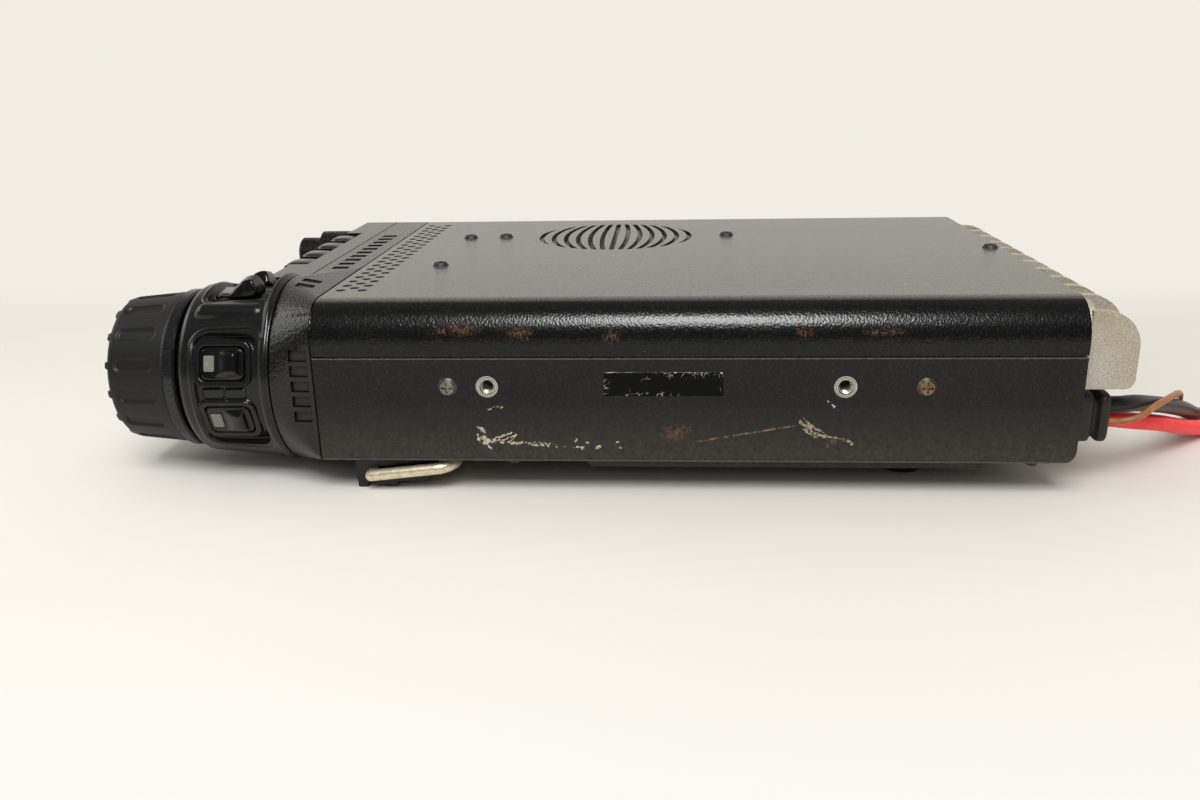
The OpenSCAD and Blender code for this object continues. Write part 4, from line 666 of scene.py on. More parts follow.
# %% Flakes
# Each mark is a half width and the corners of its bent line, as millimetres along the case and up
CHIP_MARKS = [(0.45, [(43.6, 9.8), (44.8, 8.8)]), (0.3, [(42.9, 7.8), (43.4, 5.9)]),
              (0.8, [(44.4, 7.0), (45.5, 6.4), (45.0, 5.6)]), (0.25, [(45.3, 5.2), (46.5, 4.0)]),
              (0.25, [(46.0, 6.0), (47.8, 7.1), (52.1, 8.4)]),
              (0.2, [(47.0, 6.2), (50.4, 6.6), (53.4, 8.1)]),
              (0.25, [(46.6, 5.8), (48.2, 6.2), (50.3, 5.6), (51.8, 6.2)]),
              (0.18, [(51.6, 5.8), (53.2, 8.0)]), (0.42, [(52.0, 5.4), (53.8, 5.6)]),
              (0.17, [(54.1, 5.6), (55.9, 5.8)]), (0.26, [(56.4, 5.6), (57.4, 5.2), (58.2, 4.9)]),
              (0.17, [(56.8, 5.0), (58.0, 5.6), (58.8, 5.0)]),
              (0.19, [(59.4, 5.8), (60.2, 4.8), (60.9, 5.6), (61.5, 4.6), (62.2, 5.6)]),
              (0.3, [(63.5, 4.7), (63.9, 4.6)]), (0.14, [(65.6, 4.7), (66.4, 4.6)]),
              (0.36, [(69.1, 6.4), (69.4, 6.2)]), (0.17, [(68.4, 4.4), (70.4, 4.5)]),
              (0.34, [(70.8, 4.3), (71.4, 4.4)]), (0.2, [(71.6, 5.8), (72.4, 5.7)]),
              (0.4, [(74.8, 4.4), (75.5, 4.7)]), (0.16, [(80.0, 5.8), (80.6, 6.0)]),
              (0.16, [(80.7, 4.4), (81.4, 4.3)]), (0.05, [(46.2, 15.0), (48.2, 15.9), (49.2, 15.8)]),
              (0.12, [(49.7, 15.5), (49.9, 15.7)]), (0.17, [(134.3, 17.7), (136.3, 15.9)])]
GOUGE_MARKS = [(0.16, [(128.5, 12.8), (130.1, 11.2), (131.8, 10.0), (134.5, 8.4)]),
               (0.12, [(128.9, 12.0), (130.6, 10.3), (133.6, 8.7)]),
               (0.38, [(127.8, 11.7), (129.5, 10.4), (131.8, 8.7), (134.2, 7.7)]),
               (0.22, [(128.8, 9.9), (130.5, 8.2), (132.1, 7.4)]), (0.3, [(130.6, 8.9), (132.4, 8.0)]),
               (0.3, [(134.2, 7.9), (136.6, 7.5), (139.1, 7.1)]),
               (0.3, [(139.1, 6.6), (140.6, 6.5), (141.3, 5.8)]), (0.2, [(135.1, 5.3), (135.3, 5.2)])]
flakes("primer_chips", CHIP_MARKS, 0.21, 11, "chipped_primer")
flakes("primer_gouge", GOUGE_MARKS, 0.18, 23, "scraped_primer")

# %% [markdown]
# ## Worn label
# A narrow black vinyl label sticks on the side. It is bare, creased along its edges and rubbed down to
# the pale carrier at its front end. It is a thin sheet, and a number on each point says how worn it is
# there.

# %% Label
LABEL_START, LABEL_END = 76.9, 107.6
LABEL_LOW, LABEL_HIGH = 18.8, 25.2
LABEL_LIFT, LABEL_BASE = 0.07, 0.005
a, b = np.meshgrid(np.linspace(LABEL_START, LABEL_END, 300), np.linspace(LABEL_LOW, LABEL_HIGH, 64),
                   indexing="ij")
edge = np.minimum(np.minimum(a - LABEL_START, LABEL_END - a), np.minimum(b - LABEL_LOW, LABEL_HIGH - b))
ragged = 0.22*value_noise(a, b, 1.3, 5)*np.exp(-edge/0.4)
share = (a - LABEL_START)/(LABEL_END - LABEL_START)


def crinkle(size, seed, stretch=1.0, thin=0.16):
    """Thin creases: 1 along the lines where smooth noise passes through zero, falling to 0 beside them."""
    return np.clip(1.0 - np.abs(value_noise(a, stretch*b, size, seed))/thin, 0.0, 1.0)


# Wear fades with the distance in millimetres from the upper, lower and front edge
upper = np.exp(-(LABEL_HIGH - b)/1.0)*smooth_step((share - 0.3)/0.25)
lower = np.exp(-(b - LABEL_LOW)/0.8)*smooth_step((share - 0.1)/0.1)*smooth_step((0.75 - share)/0.2)
front = np.exp(-(a - LABEL_START)/1.0)*smooth_step((LABEL_HIGH - 1.2 - b)/1.0)
top_line = np.exp(-(LABEL_HIGH - b)/0.1)*(0.6 + 0.5*value_noise(a, b, 2.2, 8))
cracks = crinkle(1.5, 12, 0.6, 0.07)*smooth_step(3.0*value_noise(a, b, 1.7, 13) - 0.6)
worn = 1.2*(upper + lower)*crinkle(0.9, 6) + 1.3*front*crinkle(0.6, 9) + 0.7*top_line + 0.5*cracks
lift = LABEL_LIFT + 0.02*value_noise(a, b, 4.0, 7)
top = np.stack([CASE_HALF_WIDTH + lift, a + ragged, b + 0.6*ragged], axis=-1)
base = top.copy()
base[..., 0] = CASE_HALF_WIDTH + LABEL_BASE
label = np.concatenate([base[:, :1], top, base[:, -1:]], axis=1)
worn = np.concatenate([worn[:, :1], worn, worn[:, -1:]], axis=1)
new_piece("side_label", label, "main_unit", "gloss_key", "worn_label", closed=False, values=worn)

# %% [markdown]
# ## Threads in the side holes
# The bright bosses on the side are threaded for the screws of a mounting bracket. A helical groove is a
# tube whose radius goes up and down along a line that climbs one pitch for each turn: a cosine of angle
# plus height. The tool has left a finer spiral on each boss's face, which is the same wave drawn outwards
# instead of inwards.

# %% Threads
THREAD_PITCH, THREAD_R, THREAD_RISE = 0.7, 1.8, 0.18
FACE_PITCH, FACE_PROUD, FACE_RISE = 0.4, 0.08, 0.03
MOUTH_R, MOUTH_DEPTH = 1.99, 0.35
BOSS_SINK = 0.05
HOLE_PLACES, HOLE_Z = (46.1, 138.9), 21.2
face_r = np.linspace(2.95, MOUTH_R, 24)
bore_depth = np.linspace(0.0, 6.5, 100)
base_r = np.concatenate([face_r, np.full(len(bore_depth), THREAD_R)])
base_depth = np.concatenate([np.full(len(face_r), -FACE_PROUD), bore_depth])
climb = 2*np.pi*np.concatenate([(face_r[0] - face_r)/FACE_PITCH, bore_depth/THREAD_PITCH])
turn, step = np.meshgrid(full_turn(36), np.arange(len(base_r)), indexing="ij")
threads, crest_highlights = [], []
for side, hole_y in [(side, hole_y) for side in (1, -1) for hole_y in HOLE_PLACES]:
    # The turn runs one way on the right and the other on the left, so that the faces point outwards
    around = -side*turn
    deep = base_depth[step]
    wave = np.cos(around + climb[step])
    groove = np.where(deep < 0, base_r[step], base_r[step] + THREAD_RISE*wave)
    groove = np.where((deep >= 0) & (deep < MOUTH_DEPTH), np.maximum(groove, MOUTH_R - deep*0.2), groove)
    deep = np.where(deep < 0, deep - FACE_RISE*wave, deep)
    threads.append(np.stack([side*(CASE_HALF_WIDTH - BOSS_SINK - deep), hole_y + groove*np.cos(around),
                             HOLE_Z + groove*np.sin(around)], axis=-1))
    # How much painted highlight each point gets: 1 on the bore's thread crests, 0 in its roots, which are
    # painted shade; the face's spiral follows the same wave
    crest_highlights.append(0.5 - 0.5*wave)
new_piece("side_threads", threads, "main_unit", "cast_alloy", "tapped_alloy", wrap="rows", closed=False,
          values=crest_highlights)

# %% [markdown]
# ## Materials
# Each finish starts from what the real surface is and how it was made. Colours are written as sRGB hex
# values and turned to linear by one function; one more function adds a node with its settings and links.
# Patterns read Object coordinates, which are metres here, so a pattern of so many millimetres has a scale
# of a thousand divided by them. A finish is then built as a painter would: a ground with its grain, and
# coats laid over it.

# %% Material helpers
finishes = {}


def linear(code):
    """sRGB hex to linear RGBA."""
    srgb = np.array([int(code[i:i + 2], 16) for i in (1, 3, 5)])/255.0
    rgb = np.where(srgb <= 0.04045, srgb/12.92, ((srgb + 0.055)/1.055)**2.4)
    return (*rgb.tolist(), 1.0)


def add(tree, kind, sockets=None, **settings):
    """Adds one shader node of that kind, sets its properties, and sets or links its inputs."""
    made = tree.nodes.new("ShaderNode" + kind)
    for key, value in settings.items():
        setattr(made, key, value)
    for key, value in (sockets or {}).items():
        if isinstance(value, bpy.types.NodeSocket):
            tree.links.new(value, made.inputs[key])
        else:
            made.inputs[key].default_value = value
    return made


def per_mm(size):
    """Scale of a pattern with features of that many millimetres."""
    return 1000.0/size


def ground(slot, name, colour, grain, height, detail=2.0, **values):
    """A new finish: one colour, constants on the shader's sockets, and grain of a size and height in mm.

    Gives back the node tree, the shader, the Object coordinates and the grain as a number."""
    material = bpy.data.materials.new(name)
    material.use_nodes = True
    tree = material.node_tree
    shader = tree.nodes["Principled BSDF"]
    shader.inputs["Base Color"].default_value = linear(colour)
    for key, value in values.items():
        shader.inputs[key.replace("_", " ")].default_value = value
    place = add(tree, "TexCoord").outputs["Object"]
    noise = add(tree, "TexNoise", {"Vector": place, "Scale": per_mm(grain), "Detail": detail})
    if height > 0:
        bump = add(tree, "Bump", {"Height": noise.outputs["Fac"], "Distance": height/1000.0,
                                  "Strength": 1.0})
        tree.links.new(bump.outputs["Normal"], shader.inputs["Normal"])
    finishes[slot] = material
    print("finish", name)
    return tree, shader, place, noise.outputs["Fac"]


def coat(shader, colour, *masks):
    """Lays a colour over the shader's colour so far, as much as the product of its masks.

    A mask is a number on the surface, the values where it starts and is full, and its top if below 1."""
    tree = shader.id_data
    base = shader.inputs["Base Color"]
    below = base.links[0].from_socket if base.is_linked else base.default_value[:]
    share = 1.0
    for value, start, full, *top in masks:
        part = add(tree, "MapRange", {"Value": value, "From Min": start, "From Max": full,
                                      "To Max": top[0] if top else 1.0})
        share = add(tree, "Math", {0: part.outputs[0], 1: share}, operation="MULTIPLY").outputs[0]
    laid = add(tree, "Mix", {"Factor": share, "A": below, "B": linear(colour)}, data_type="RGBA")
    tree.links.new(laid.outputs["Result"], base)


def mottled(slot, name, tones, grain, height, span=(0.3, 0.8), detail=2.0, **values):
    """A finish of one grain in two tones: the first where the grain is low, the second where it is high."""
    tree, shader, place, noise = ground(slot, name, tones[0], grain, height, detail, **values)
    coat(shader, tones[1], (noise, *span))


# %% [markdown]
# ## Painted sheet steel
# Case and cover wear a textured black stoving enamel: a pebbled coat whose grains sparkle in every
# highlight, dulled by handling in broad clouds. The top is painted lighter: painted sheen of the grazing
# light, together with some dust. The lowest part of the sides is painted lighter: painted bounce light from
# the floor, together with some dust. A picture could carry all this, but coats with masks follow the shape
# and need no unwrapping.

# %% Painted sheet steel
# The real grains are about 0.4 mm, too fine to show, so they are drawn nearly 0.6 mm wide
TOP_SHEEN_AND_DUST = (0.0513, 0.05195)
LOW_BOUNCE_AND_DUST = (0.026, 0.0085)
tree, shader, place, pebble = ground("case_paint", "pebbled_enamel_black", "#070708", 0.58, 0.055, 0.0,
                                     Roughness=0.23, IOR=1.34)
axes = add(tree, "SeparateXYZ", {0: place}).outputs
cloud, fine, specks = (add(tree, "TexNoise", {"Vector": place, "Scale": per_mm(size), "Detail": detail,
                                              "Roughness": rough}).outputs["Fac"]
                       for size, detail, rough in ((22, 5.0, 0.65), (1.1, 3.0, 0.5), (0.6, 1.0, 0.5)))
coat(shader, "#101010", (cloud, 0.3, 0.75))
# Painted sheen with some dust: the top is painted lighter, standing in for the grazing light on it
coat(shader, "#43413d", (axes[2], *TOP_SHEEN_AND_DUST), (fine, 0.1, 0.5))
coat(shader, "#6a6761", (axes[2], *TOP_SHEEN_AND_DUST), (pebble, 0.3, 0.8))
# Painted bounce light with some dust: the lowest part of the sides is painted lighter, standing in for light
# from the floor
coat(shader, "#4a453d", (axes[2], *LOW_BOUNCE_AND_DUST), (fine, 0.0, 1.0))
coat(shader, "#272625", (pebble, 0.5, 0.8, 0.45))
coat(shader, "#6a665f", (specks, 0.74, 0.84, 0.5))

# %% [markdown]
# ## Rust, a rubbed edge and a painted highlight
# On the right side rust has stained the paint in soft brown clouds and along one long scratch, and the
# paint is rubbed thin on the seam's lower edge; along the bottom bend a pale line is painted as the
# highlight on the bend. Each stain is a place and a half size in millimetres, and fades with the distance
# from its middle.

# %% Rust, a rubbed edge and a painted highlight
RUST_SPOTS = [(40.2, 36.4, 5.5, 1.7), (35.0, 36.0, 4.0, 1.0), (55.2, 35.4, 4.2, 2.0),
              (79.0, 34.6, 2.6, 2.2), (128.2, 35.6, 2.8, 1.4), (148.0, 35.7, 6.5, 1.2),
              (95.0, 8.6, 4.0, 2.6), (98.0, 9.8, 2.6, 1.2), (136.2, 6.3, 2.4, 1.4)]
SCRATCH_FROM, SCRATCH_TO = (101.0, 6.2), (127.0, 10.8)
SCRATCH_FADE = 0.002
SEAM_EDGE_Z, BOTTOM_BEND_HIGHLIGHT_Z = 28.85, 0.55
on_right = (axes[0], 0.0599, 0.0601)
rusty = 0.0
for along_y, height, half_y, half_z in RUST_SPOTS:
    middle = to_frame([0.0, along_y, height]).tolist()
    away = add(tree, "VectorMath", {0: place, 1: middle}, operation="SUBTRACT").outputs[0]
    away = add(tree, "VectorMath", {0: away, 1: (0.0, per_mm(half_y), per_mm(half_z))},
               operation="MULTIPLY").outputs[0]
    away = add(tree, "VectorMath", {0: away}, operation="LENGTH").outputs["Value"]
    near = add(tree, "MapRange", {"Value": away, "From Min": 1.1, "From Max": 0.0}).outputs[0]
    rusty = add(tree, "Math", {0: near, 1: rusty}, operation="MAXIMUM").outputs[0]
broken = add(tree, "MapRange", {"Value": fine, "From Min": 0.3, "From Max": 0.7}).outputs[0]
rusty = add(tree, "Math", {0: rusty, 1: broken}, operation="MULTIPLY").outputs[0]
coat(shader, "#6d4e36", (rusty, 0.02, 0.55, 0.66), (pebble, 0.3, 0.6), on_right)


def height_gap(height):
    """How far above or below a height in metres each place on the paint lies."""
    gap = add(tree, "Math", {0: axes[2], 1: height}, operation="SUBTRACT").outputs[0]
    return add(tree, "Math", {0: gap}, operation="ABSOLUTE").outputs[0]


(first_y, first_z), (last_y, last_z) = to_frame([[0, *SCRATCH_FROM], [0, *SCRATCH_TO]])[:, 1:].tolist()
slope = (last_z - first_z)/(last_y - first_y)
rise = add(tree, "Math", {0: axes[1], 1: slope, 2: first_z - slope*first_y},
           operation="MULTIPLY_ADD").outputs[0]
coat(shader, "#7d6c55", (height_gap(rise), 0.0003, 0.00012), (fine, 0.36, 0.6),
     (axes[1], first_y, first_y + SCRATCH_FADE), (axes[1], last_y, last_y - SCRATCH_FADE), on_right)
# The seam's lower edge is rubbed thin; the pale line along the bottom bend is a painted highlight on the bend
for edge_z in (SEAM_EDGE_Z, BOTTOM_BEND_HIGHLIGHT_Z):
    gap = height_gap((edge_z + FOOT_HEIGHT)/1000.0)
    coat(shader, "#6d6a65", (gap, 0.00028, 0.000112), (fine, 0.0, 1.0))
print("paint with", len(tree.nodes), "nodes")

# %% [markdown]
# ## Cast aluminium
# The chassis and its heat sink are a bare die casting, shot blasted and tarnished. Shot leaves round
# dents of about half a millimetre, and years leave yellow patches some millimetres wide, so noises of
# both sizes are laid over each other.

# %% Cast aluminium
# Blasted casting: a warm light grey with fine dark pits, yellowed in broad patches
tree, shader, place, blast = ground("cast_alloy", "cast_aluminium_blasted", "#b9b3a9", 0.45, 0.05, 4.0,
                                    Roughness=0.6, Metallic=0.35)
patch, pit = (add(tree, "TexNoise", {"Vector": place, "Scale": per_mm(size),
                                     "Detail": detail}).outputs["Fac"]
              for size, detail in ((14, 3.0), (0.5, 2.0)))
coat(shader, "#a99e83", (patch, 0.4, 0.68))
coat(shader, "#777165", (pit, 0.5, 0.3, 0.6))
coat(shader, "#d9d4c9", (blast, 0.5, 0.7, 0.7))

# Tapped aluminium of the side holes: a painted highlight on the thread's crests and painted shade in its
# roots
tree, shader, place, tapped = ground("tapped_alloy", "aluminium_tapped", "#57534b", 0.5, 0.006,
                                     Roughness=0.3, Metallic=0.6)
crest = add(tree, "Attribute", attribute_name="worn").outputs["Fac"]
coat(shader, "#dedbd2", (crest, 0.35, 0.75))

# %% [markdown]
# ## Moulded plastics
# Frame, panel, keys and connector are moulded. The tool's surface decides the look: a spark-eroded tool
# gives a grain that sparkles, a polished one gives clear highlights. One noise makes both the bump and
# the tone.

# %% Moulded plastics
# Grained black ABS: matt, with a sparkle where light falls along it; drawn 0.6 mm wide so that it shows
mottled("black_moulding", "abs_black_grained", ("#0e0e0f", "#1b1b1a"), 0.62, 0.11, detail=0.0,
        Roughness=0.25, IOR=1.42)
# Satin black ABS: the panel's grain is lower and shows softer highlights
mottled("panel_moulding", "abs_black_satin", ("#0f1010", "#1a1b1b"), 0.8, 0.012, Roughness=0.25, IOR=1.4)
# Smooth black polycarbonate of the key caps: clear highlights, a few dust specks
mottled("gloss_key", "polycarbonate_black_smooth", ("#0c0c0d", "#1f1e1d"), 1.6, 0.006, (0.55, 0.9),
        Roughness=0.2, IOR=1.45)
# Grey ABS of the parts inside and behind: plain and half matt
mottled("grey_case", "abs_grey_moulded", ("#343536", "#434445"), 0.6, 0.02, Roughness=0.5)
# Natural nylon of the connector: milky, slightly waxy
mottled("nylon", "nylon_natural", ("#dcd7c9", "#ece8dc"), 1.2, 0.015, Roughness=0.38,
        Subsurface_Weight=0.15)

# %% [markdown]
# ## Rubbers
# The dial's tyre, the strain relief and the feet are moulded rubber. Rubber scatters light widely, so it
# is rough, and its skin has a fine grain with a dusty bloom.

# %% Rubbers
# Nitrile rubber of the grip: matt and dark, with a dusty bloom
mottled("grip_rubber", "nitrile_rubber_grip", ("#0f0f0e", "#171615"), 0.45, 0.02, Roughness=0.5, IOR=1.4)
# Softer black rubber of the relief and the feet: a little greyer
mottled("relief_rubber", "rubber_black_moulded", ("#191918", "#262523"), 0.6, 0.02, Roughness=0.5, IOR=1.42)

# %% [markdown]
# ## Metals
# Small metal parts are plated, anodised or turned. Each keeps the default IOR, and differs in how much of
# it still mirrors and in how its surface has dulled.

# %% Metals
# Dark anodised aluminium of the dial's trim ring: turned, with a grey metallic sheen
mottled("trim_metal", "anodised_aluminium_dark", ("#2c2c2e", "#454649"), 0.5, 0.03, (0.3, 0.75), 0.0,
        Roughness=0.26, Metallic=0.8)
# Black oxide steel of the cover screws: dark, with a dull edge
mottled("dark_steel", "black_oxide_steel", ("#232324", "#3a3937"), 0.8, 0.01, Roughness=0.55, Metallic=0.4)
# Nickel plated wire of the stand: yellowed and dulled in short patches
mottled("wire_nickel", "nickel_wire_dull", ("#eee4cc", "#d0c2a2"), 1.5, 0.012, (0.35, 0.7), 5.0,
        Roughness=0.34, Metallic=0.7)
# Bright nickel of the antenna sockets: clear reflections
mottled("nickel", "nickel_plated_brass", ("#d2cfc7", "#bab6ac"), 1.0, 0.006, Roughness=0.24, Metallic=1.0)
# Turned brass of the bush and the ground terminal: warm, slightly tarnished
mottled("brass", "brass_turned", ("#c9ae6e", "#a88d55"), 1.4, 0.008, Roughness=0.3, Metallic=1.0)
# Zinc plated steel of the screws: dulled; towards the rear the plating has gone and they are brown
tree, shader, place, rusting = ground("steel", "zinc_plated_steel", "#8b8983", 2.2, 0.03, 5.0,
                                      Roughness=0.4, Metallic=0.95)
axes = add(tree, "SeparateXYZ", {0: place}).outputs
coat(shader, "#6c675e", (rusting, 0.42, 0.7))
coat(shader, "#7d6440", (axes[1], 0.02, 0.04), (rusting, 0.3, 0.6))

# %% [markdown]
# ## Display, lights and inside
# The display lies behind a clear window and is switched off, and small milky windows sit in the keys.
# Boards and the loudspeaker's cone are seen only through openings, but they get their own finish all the
# same.

# %% Display, lights and inside
# Clear acrylic window: glassy and slightly smoked, so that the display behind shows through, darkened
mottled("clear_window", "acrylic_smoked", ("#0d110e", "#161a16"), 6.0, 0.004, Roughness=0.08, IOR=1.49,
        Alpha=0.3)
# Liquid crystal panel, switched off: grey green, almost even
mottled("display", "liquid_crystal_panel", ("#7e8974", "#8f9a84"), 3.0, 0.003, (0.2, 0.9), Roughness=0.2)
# Milky polycarbonate of the light windows in the keys: pale grey, slightly see-through
mottled("light_window", "polycarbonate_milky", ("#6f6e64", "#87877b"), 1.0, 0.008, Roughness=0.32,
        Subsurface_Weight=0.2)
# Solder mask on fibreglass: green and half glossy, with the cloth's unevenness
mottled("board", "fibreglass_green", ("#27583a", "#336b46"), 0.8, 0.01, Roughness=0.35)
# Pressed paper of the loudspeaker cone: brown grey and fibrous
mottled("paper", "paper_pressed", ("#73695b", "#928778"), 0.6, 0.05, (0.3, 0.75), 6.0, Roughness=0.9)

# %% [markdown]
# ## Vinyl leads
# The leads have soft vinyl insulation in three colours. It is drawn through a die, so it is smooth, with
# only a slow unevenness along its length and a slight waxy gloss.

# %% Vinyl leads
for lead, tones, gloss in (("red", ("#f3222c", "#ff3a41"), 0.45), ("black", ("#121110", "#1f1d1b"), 0.42),
                           ("brown", ("#8c5630", "#a86e43"), 0.38)):
    mottled(f"{lead}_lead", f"vinyl_{lead}", tones, 2.5, 0.01, (0.3, 0.75), Roughness=gloss, IOR=1.45)

# %% [markdown]
# ## Primer and label
# Where the enamel is gone, the dry primer under it shows, dirtied in its pores. The label is black vinyl,
# and its own worn number, which lies on its points, says where the pale carrier shows.

# %% Primer and label
# Cream primer in the chips: chalky
mottled("chipped_primer", "primer_chalky", ("#786b52", "#c2baa7"), 0.8, 0.03, (0.34, 0.56), 4.0,
        Roughness=0.8)
# The same primer in the scraped gouge, ground in with dirt: olive brown between paler lines
mottled("scraped_primer", "primer_scraped", ("#6a5c43", "#aba387"), 0.7, 0.03, (0.4, 0.62), 4.0,
        Roughness=0.8)
# Black vinyl label: nearly dull, rubbed pale where it is worn and its grain stands up
tree, shader, place, scuff = ground("worn_label", "vinyl_label_worn", "#040405", 0.7, 0.012,
                                    Roughness=0.3, IOR=1.2)
wear = add(tree, "Attribute", attribute_name="worn").outputs["Fac"]
rubbed = add(tree, "Math", {0: wear, 1: scuff}, operation="MULTIPLY").outputs[0]
coat(shader, "#b9b6ae", (rubbed, 0.1, 0.45))

# %% [markdown]
# ## Putting the finishes on
# Every CAD node takes the finish of its slot in the record; only the plates of the menu keys, which show
# beside their tops, have the grained plastic. Sharp CAD edges of pieces that are moulded, cast or pressed
# get a small live bevel, so that they catch a line of light as real edges do; the node's own mesh isn't
# touched.

# %% Assign
slot_of = {part["node"]: part["material_slot"] for part in frame["record"]["subparts"]}
for name, node in nodes.items():
    node.data.materials.clear()
    wears.append((node, "black_moulding" if name.startswith("menu_key") else slot_of[name]))
for piece, finish in wears:
    piece.data.materials.append(finishes[finish])
print(len(finishes), "finishes on", len(wears), "pieces and nodes")

# %% Soft edges
SHARP = 40.0
SOFT_EDGES = {0.8: ("menu_key_1", "menu_key_2", "menu_key_3", "menu_key_4"), 0.7: ("heat_sink",),
              0.4: ("function_key_a", "function_key_b", "function_key_c", "power_key", "dc_connector"),
              0.3: ("front_feet", "panel_latch"), 0.25: ("front_frame",),
              0.2: ("upper_key_window", "lower_key_window", "up_key_window")}


def soften(node, width):
    """Live weld and bevel of that width in millimetres on the node's sharp edges."""
    weld = node.modifiers.new("weld", "WELD")
    weld.merge_threshold = 1e-6
    bevel = node.modifiers.new("bevel", "BEVEL")
    bevel.width = width/1000.0
    bevel.segments = 3
    bevel.limit_method = "ANGLE"
    bevel.angle_limit = math.radians(SHARP)
    bevel.harden_normals = True


for width, names in SOFT_EDGES.items():
    for name in names:
        soften(nodes[name], width)
    print("bevel", width, "mm on", len(names), "nodes")

# %% [markdown]
# ## Floor and light
# The radio stands on pale paper that sweeps up into a pale backdrop. The floor takes the soft shadow near
# the radio, and further out it shows the backdrop's own colour, so that no horizon line is seen. The room
# behind the camera is darker than the backdrop, which keeps the black faces on that side black.

# %% Floor
BACKDROP, FRONT_PAINTED_LIGHT = "#f1ede5", "#fdfcf8"
FLOOR_HALF = 4.0
FADE_OUT = (0.25, 0.8)
FADE_LEFT, FADE_RIGHT = (-0.1, -0.2), (0.1, 0.26)
FRONT_PALE, FRONT_REACH = (0.0, 0.25), (1.6, 0.35)
corners = [(-FLOOR_HALF, -FLOOR_HALF, 0), (FLOOR_HALF, -FLOOR_HALF, 0), (FLOOR_HALF, FLOOR_HALF, 0),
           (-FLOOR_HALF, FLOOR_HALF, 0)]
floor_mesh = bpy.data.meshes.new("floor")
floor_mesh.from_pydata(corners, [], [(0, 1, 2, 3)])
floor = bpy.data.objects.new("floor", floor_mesh)
bpy.context.scene.collection.objects.link(floor)
print("floor", 2*FLOOR_HALF, "m wide")

# %% Paper
# Pale paper: matt, with slow clouds of pulp; the grain is too fine to show and gets no height
tree, shader, place, pulp = ground("floor_paper", "paper_pale", "#d9d5ce", 300, 0.0, Roughness=0.85)
coat(shader, "#e1ded8", (pulp, 0.3, 0.7))
distance = add(tree, "VectorMath", {0: place}, operation="LENGTH").outputs["Value"]
across = add(tree, "SeparateXYZ", {0: place}).outputs[0]
fade = 0.0
for value, (start, full) in ((distance, FADE_OUT), (across, FADE_LEFT), (across, FADE_RIGHT)):
    further = add(tree, "MapRange", {"Value": value, "From Min": start, "From Max": full},
                  interpolation_type="SMOOTHSTEP").outputs[0]
    fade = add(tree, "Math", {0: further, 1: fade}, operation="MAXIMUM").outputs[0]
# Painted light: towards the camera the paper is painted whiter than the backdrop, as if lit from the front
nearer = add(tree, "MapRange", {"Value": across, "From Min": FRONT_PALE[0],
                                "From Max": FRONT_PALE[1]}).outputs[0]
around = add(tree, "MapRange", {"Value": distance, "From Min": FRONT_REACH[0],
                                "From Max": FRONT_REACH[1]},
             interpolation_type="SMOOTHSTEP").outputs[0]
nearer = add(tree, "Math", {0: nearer, 1: around}, operation="MULTIPLY").outputs[0]
tint = add(tree, "Mix", {"Factor": nearer, "A": linear(BACKDROP), "B": linear(FRONT_PAINTED_LIGHT)},
           data_type="RGBA").outputs["Result"]
path = add(tree, "LightPath").outputs
seen = path["Is Camera Ray"]
for ray in ("Is Glossy Ray", "Is Transmission Ray"):
    seen = add(tree, "Math", {0: seen, 1: path[ray]}, operation="MAXIMUM").outputs[0]
fade = add(tree, "Math", {0: fade, 1: seen}, operation="MULTIPLY").outputs[0]
sweep = add(tree, "Emission", {"Color": tint, "Strength": 1.0})
mixed = add(tree, "MixShader", {0: fade, 1: shader.outputs[0], 2: sweep.outputs[0]})
tree.links.new(mixed.outputs[0], tree.nodes["Material Output"].inputs["Surface"])
floor.data.materials.append(finishes["floor_paper"])

# %% World
# The camera sees the backdrop; gloss mirrors a room that is darker behind the camera and overhead; all
# else is lit softly from above
SKY = "#fbf8f2"
SKY_FULL, SKY_LEVEL = 0.5, 0.75
ROOM_SIDE, ROOM_DARK = 0.35, 0.12
ROOM_HIGH, ROOM_OVERHEAD = (0.35, 0.8), 0.3
world = bpy.data.worlds.new("studio")
bpy.context.scene.world = world
world.use_nodes = True
world.cycles.sampling_method = "NONE"
tree = world.node_tree
tree.nodes.clear()
path = add(tree, "LightPath").outputs
seen = add(tree, "Math", {0: path["Is Camera Ray"], 1: path["Is Transmission Ray"]},
           operation="MAXIMUM").outputs[0]
way = add(tree, "TexCoord").outputs["Generated"]
way = add(tree, "SeparateXYZ", {0: way}).outputs
towards = add(tree, "MapRange", {"Value": way[0], "From Min": -ROOM_SIDE, "From Max": ROOM_SIDE,
                                 "To Min": 1.0, "To Max": ROOM_DARK}).outputs[0]
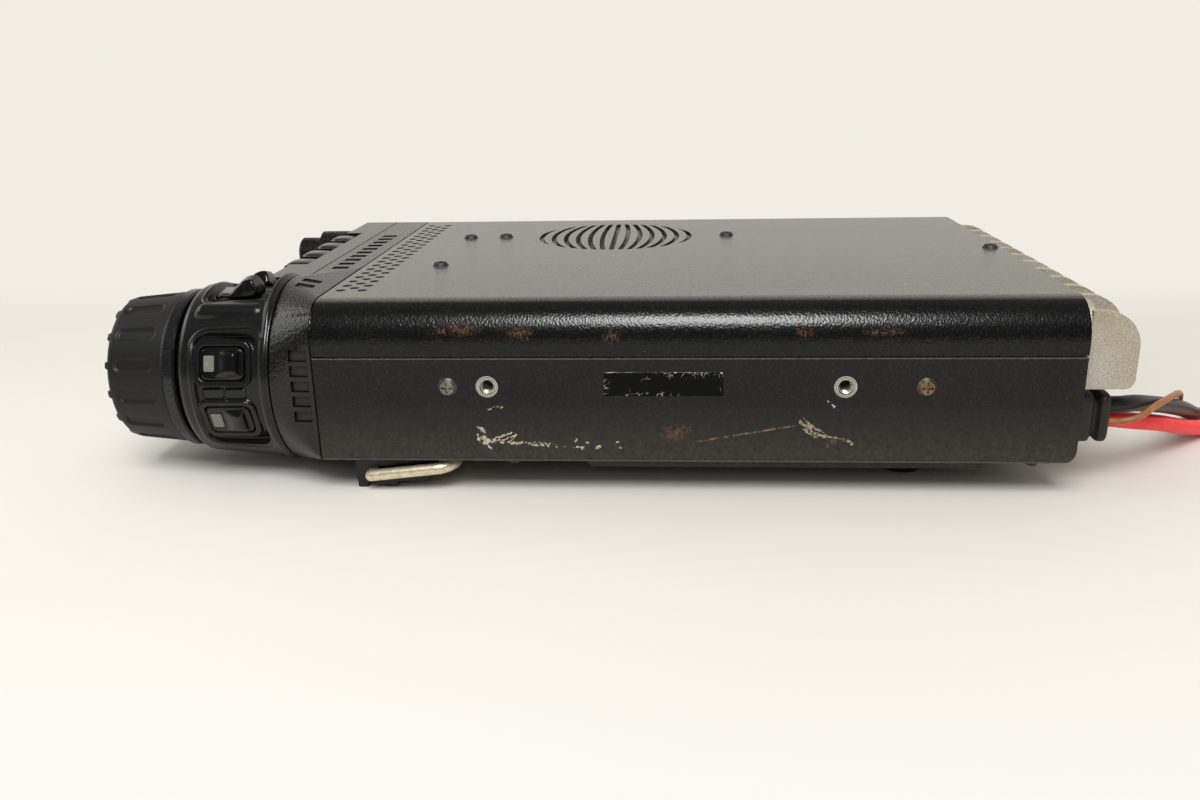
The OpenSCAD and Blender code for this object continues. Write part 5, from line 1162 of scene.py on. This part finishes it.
upward = add(tree, "MapRange", {"Value": way[2], "From Min": ROOM_HIGH[0], "From Max": ROOM_HIGH[1],
                                "To Min": 1.0, "To Max": ROOM_OVERHEAD}).outputs[0]
room = add(tree, "Math", {0: towards, 1: upward}, operation="MULTIPLY").outputs[0]
overhead = add(tree, "MapRange", {"Value": way[2], "From Min": 0.0, "From Max": SKY_FULL,
                                  "To Max": SKY_LEVEL}).outputs[0]
pale = add(tree, "Background", {"Color": linear(BACKDROP), "Strength": 1.0})
mirrored = add(tree, "Background", {"Color": linear(BACKDROP), "Strength": room})
soft = add(tree, "Background", {"Color": linear(SKY), "Strength": overhead})
mirror_ray = path["Is Glossy Ray"]
lit = add(tree, "MixShader", {0: mirror_ray, 1: soft.outputs[0], 2: mirrored.outputs[0]})
mixed = add(tree, "MixShader", {0: seen, 1: lit.outputs[0], 2: pale.outputs[0]})
add(tree, "OutputWorld", {"Surface": mixed.outputs[0]})
print("world with", len(tree.nodes), "nodes")

# %% [markdown]
# ## Lamps
# One soft box above the camera's side gives the shadow, a smaller one beside it only the long glint on
# the cover's edge, and a weak one in front lifts the dial and the frame. They are boxes, as in a studio,
# because a wide source gives the soft shadow edge that the paper shows.

# %% Lamps
EDGE_PLACE = (0.07, 0.02, 0.05)


def soft_box(name, place, width, height, watts):
    """A rectangular lamp at a place in metres, turned towards the cover's right edge."""
    lamp = bpy.data.lights.new(name, "AREA")
    lamp.shape = "RECTANGLE"
    lamp.size = width
    lamp.size_y = height
    lamp.energy = watts
    made = bpy.data.objects.new(name, lamp)
    bpy.context.scene.collection.objects.link(made)
    made.location = place
    x, y, z = np.subtract(EDGE_PLACE, place)
    made.rotation_euler = (math.atan2(math.hypot(x, y), -z), 0.0, math.atan2(y, x) - math.pi/2)
    print(name, watts, "W")
    return made


soft_box("key_light", (0.68, -0.05, 0.98), 0.7, 0.6, 10.0).visible_glossy = False
soft_box("glint", (0.71, 0.06, 1.0), 0.34, 0.5, 17.0).visible_diffuse = False
soft_box("front_fill", (-0.12, -1.3, 0.72), 0.9, 0.5, 3.2)

# %% Picture settings
bpy.context.scene.view_settings.view_transform = "Standard"
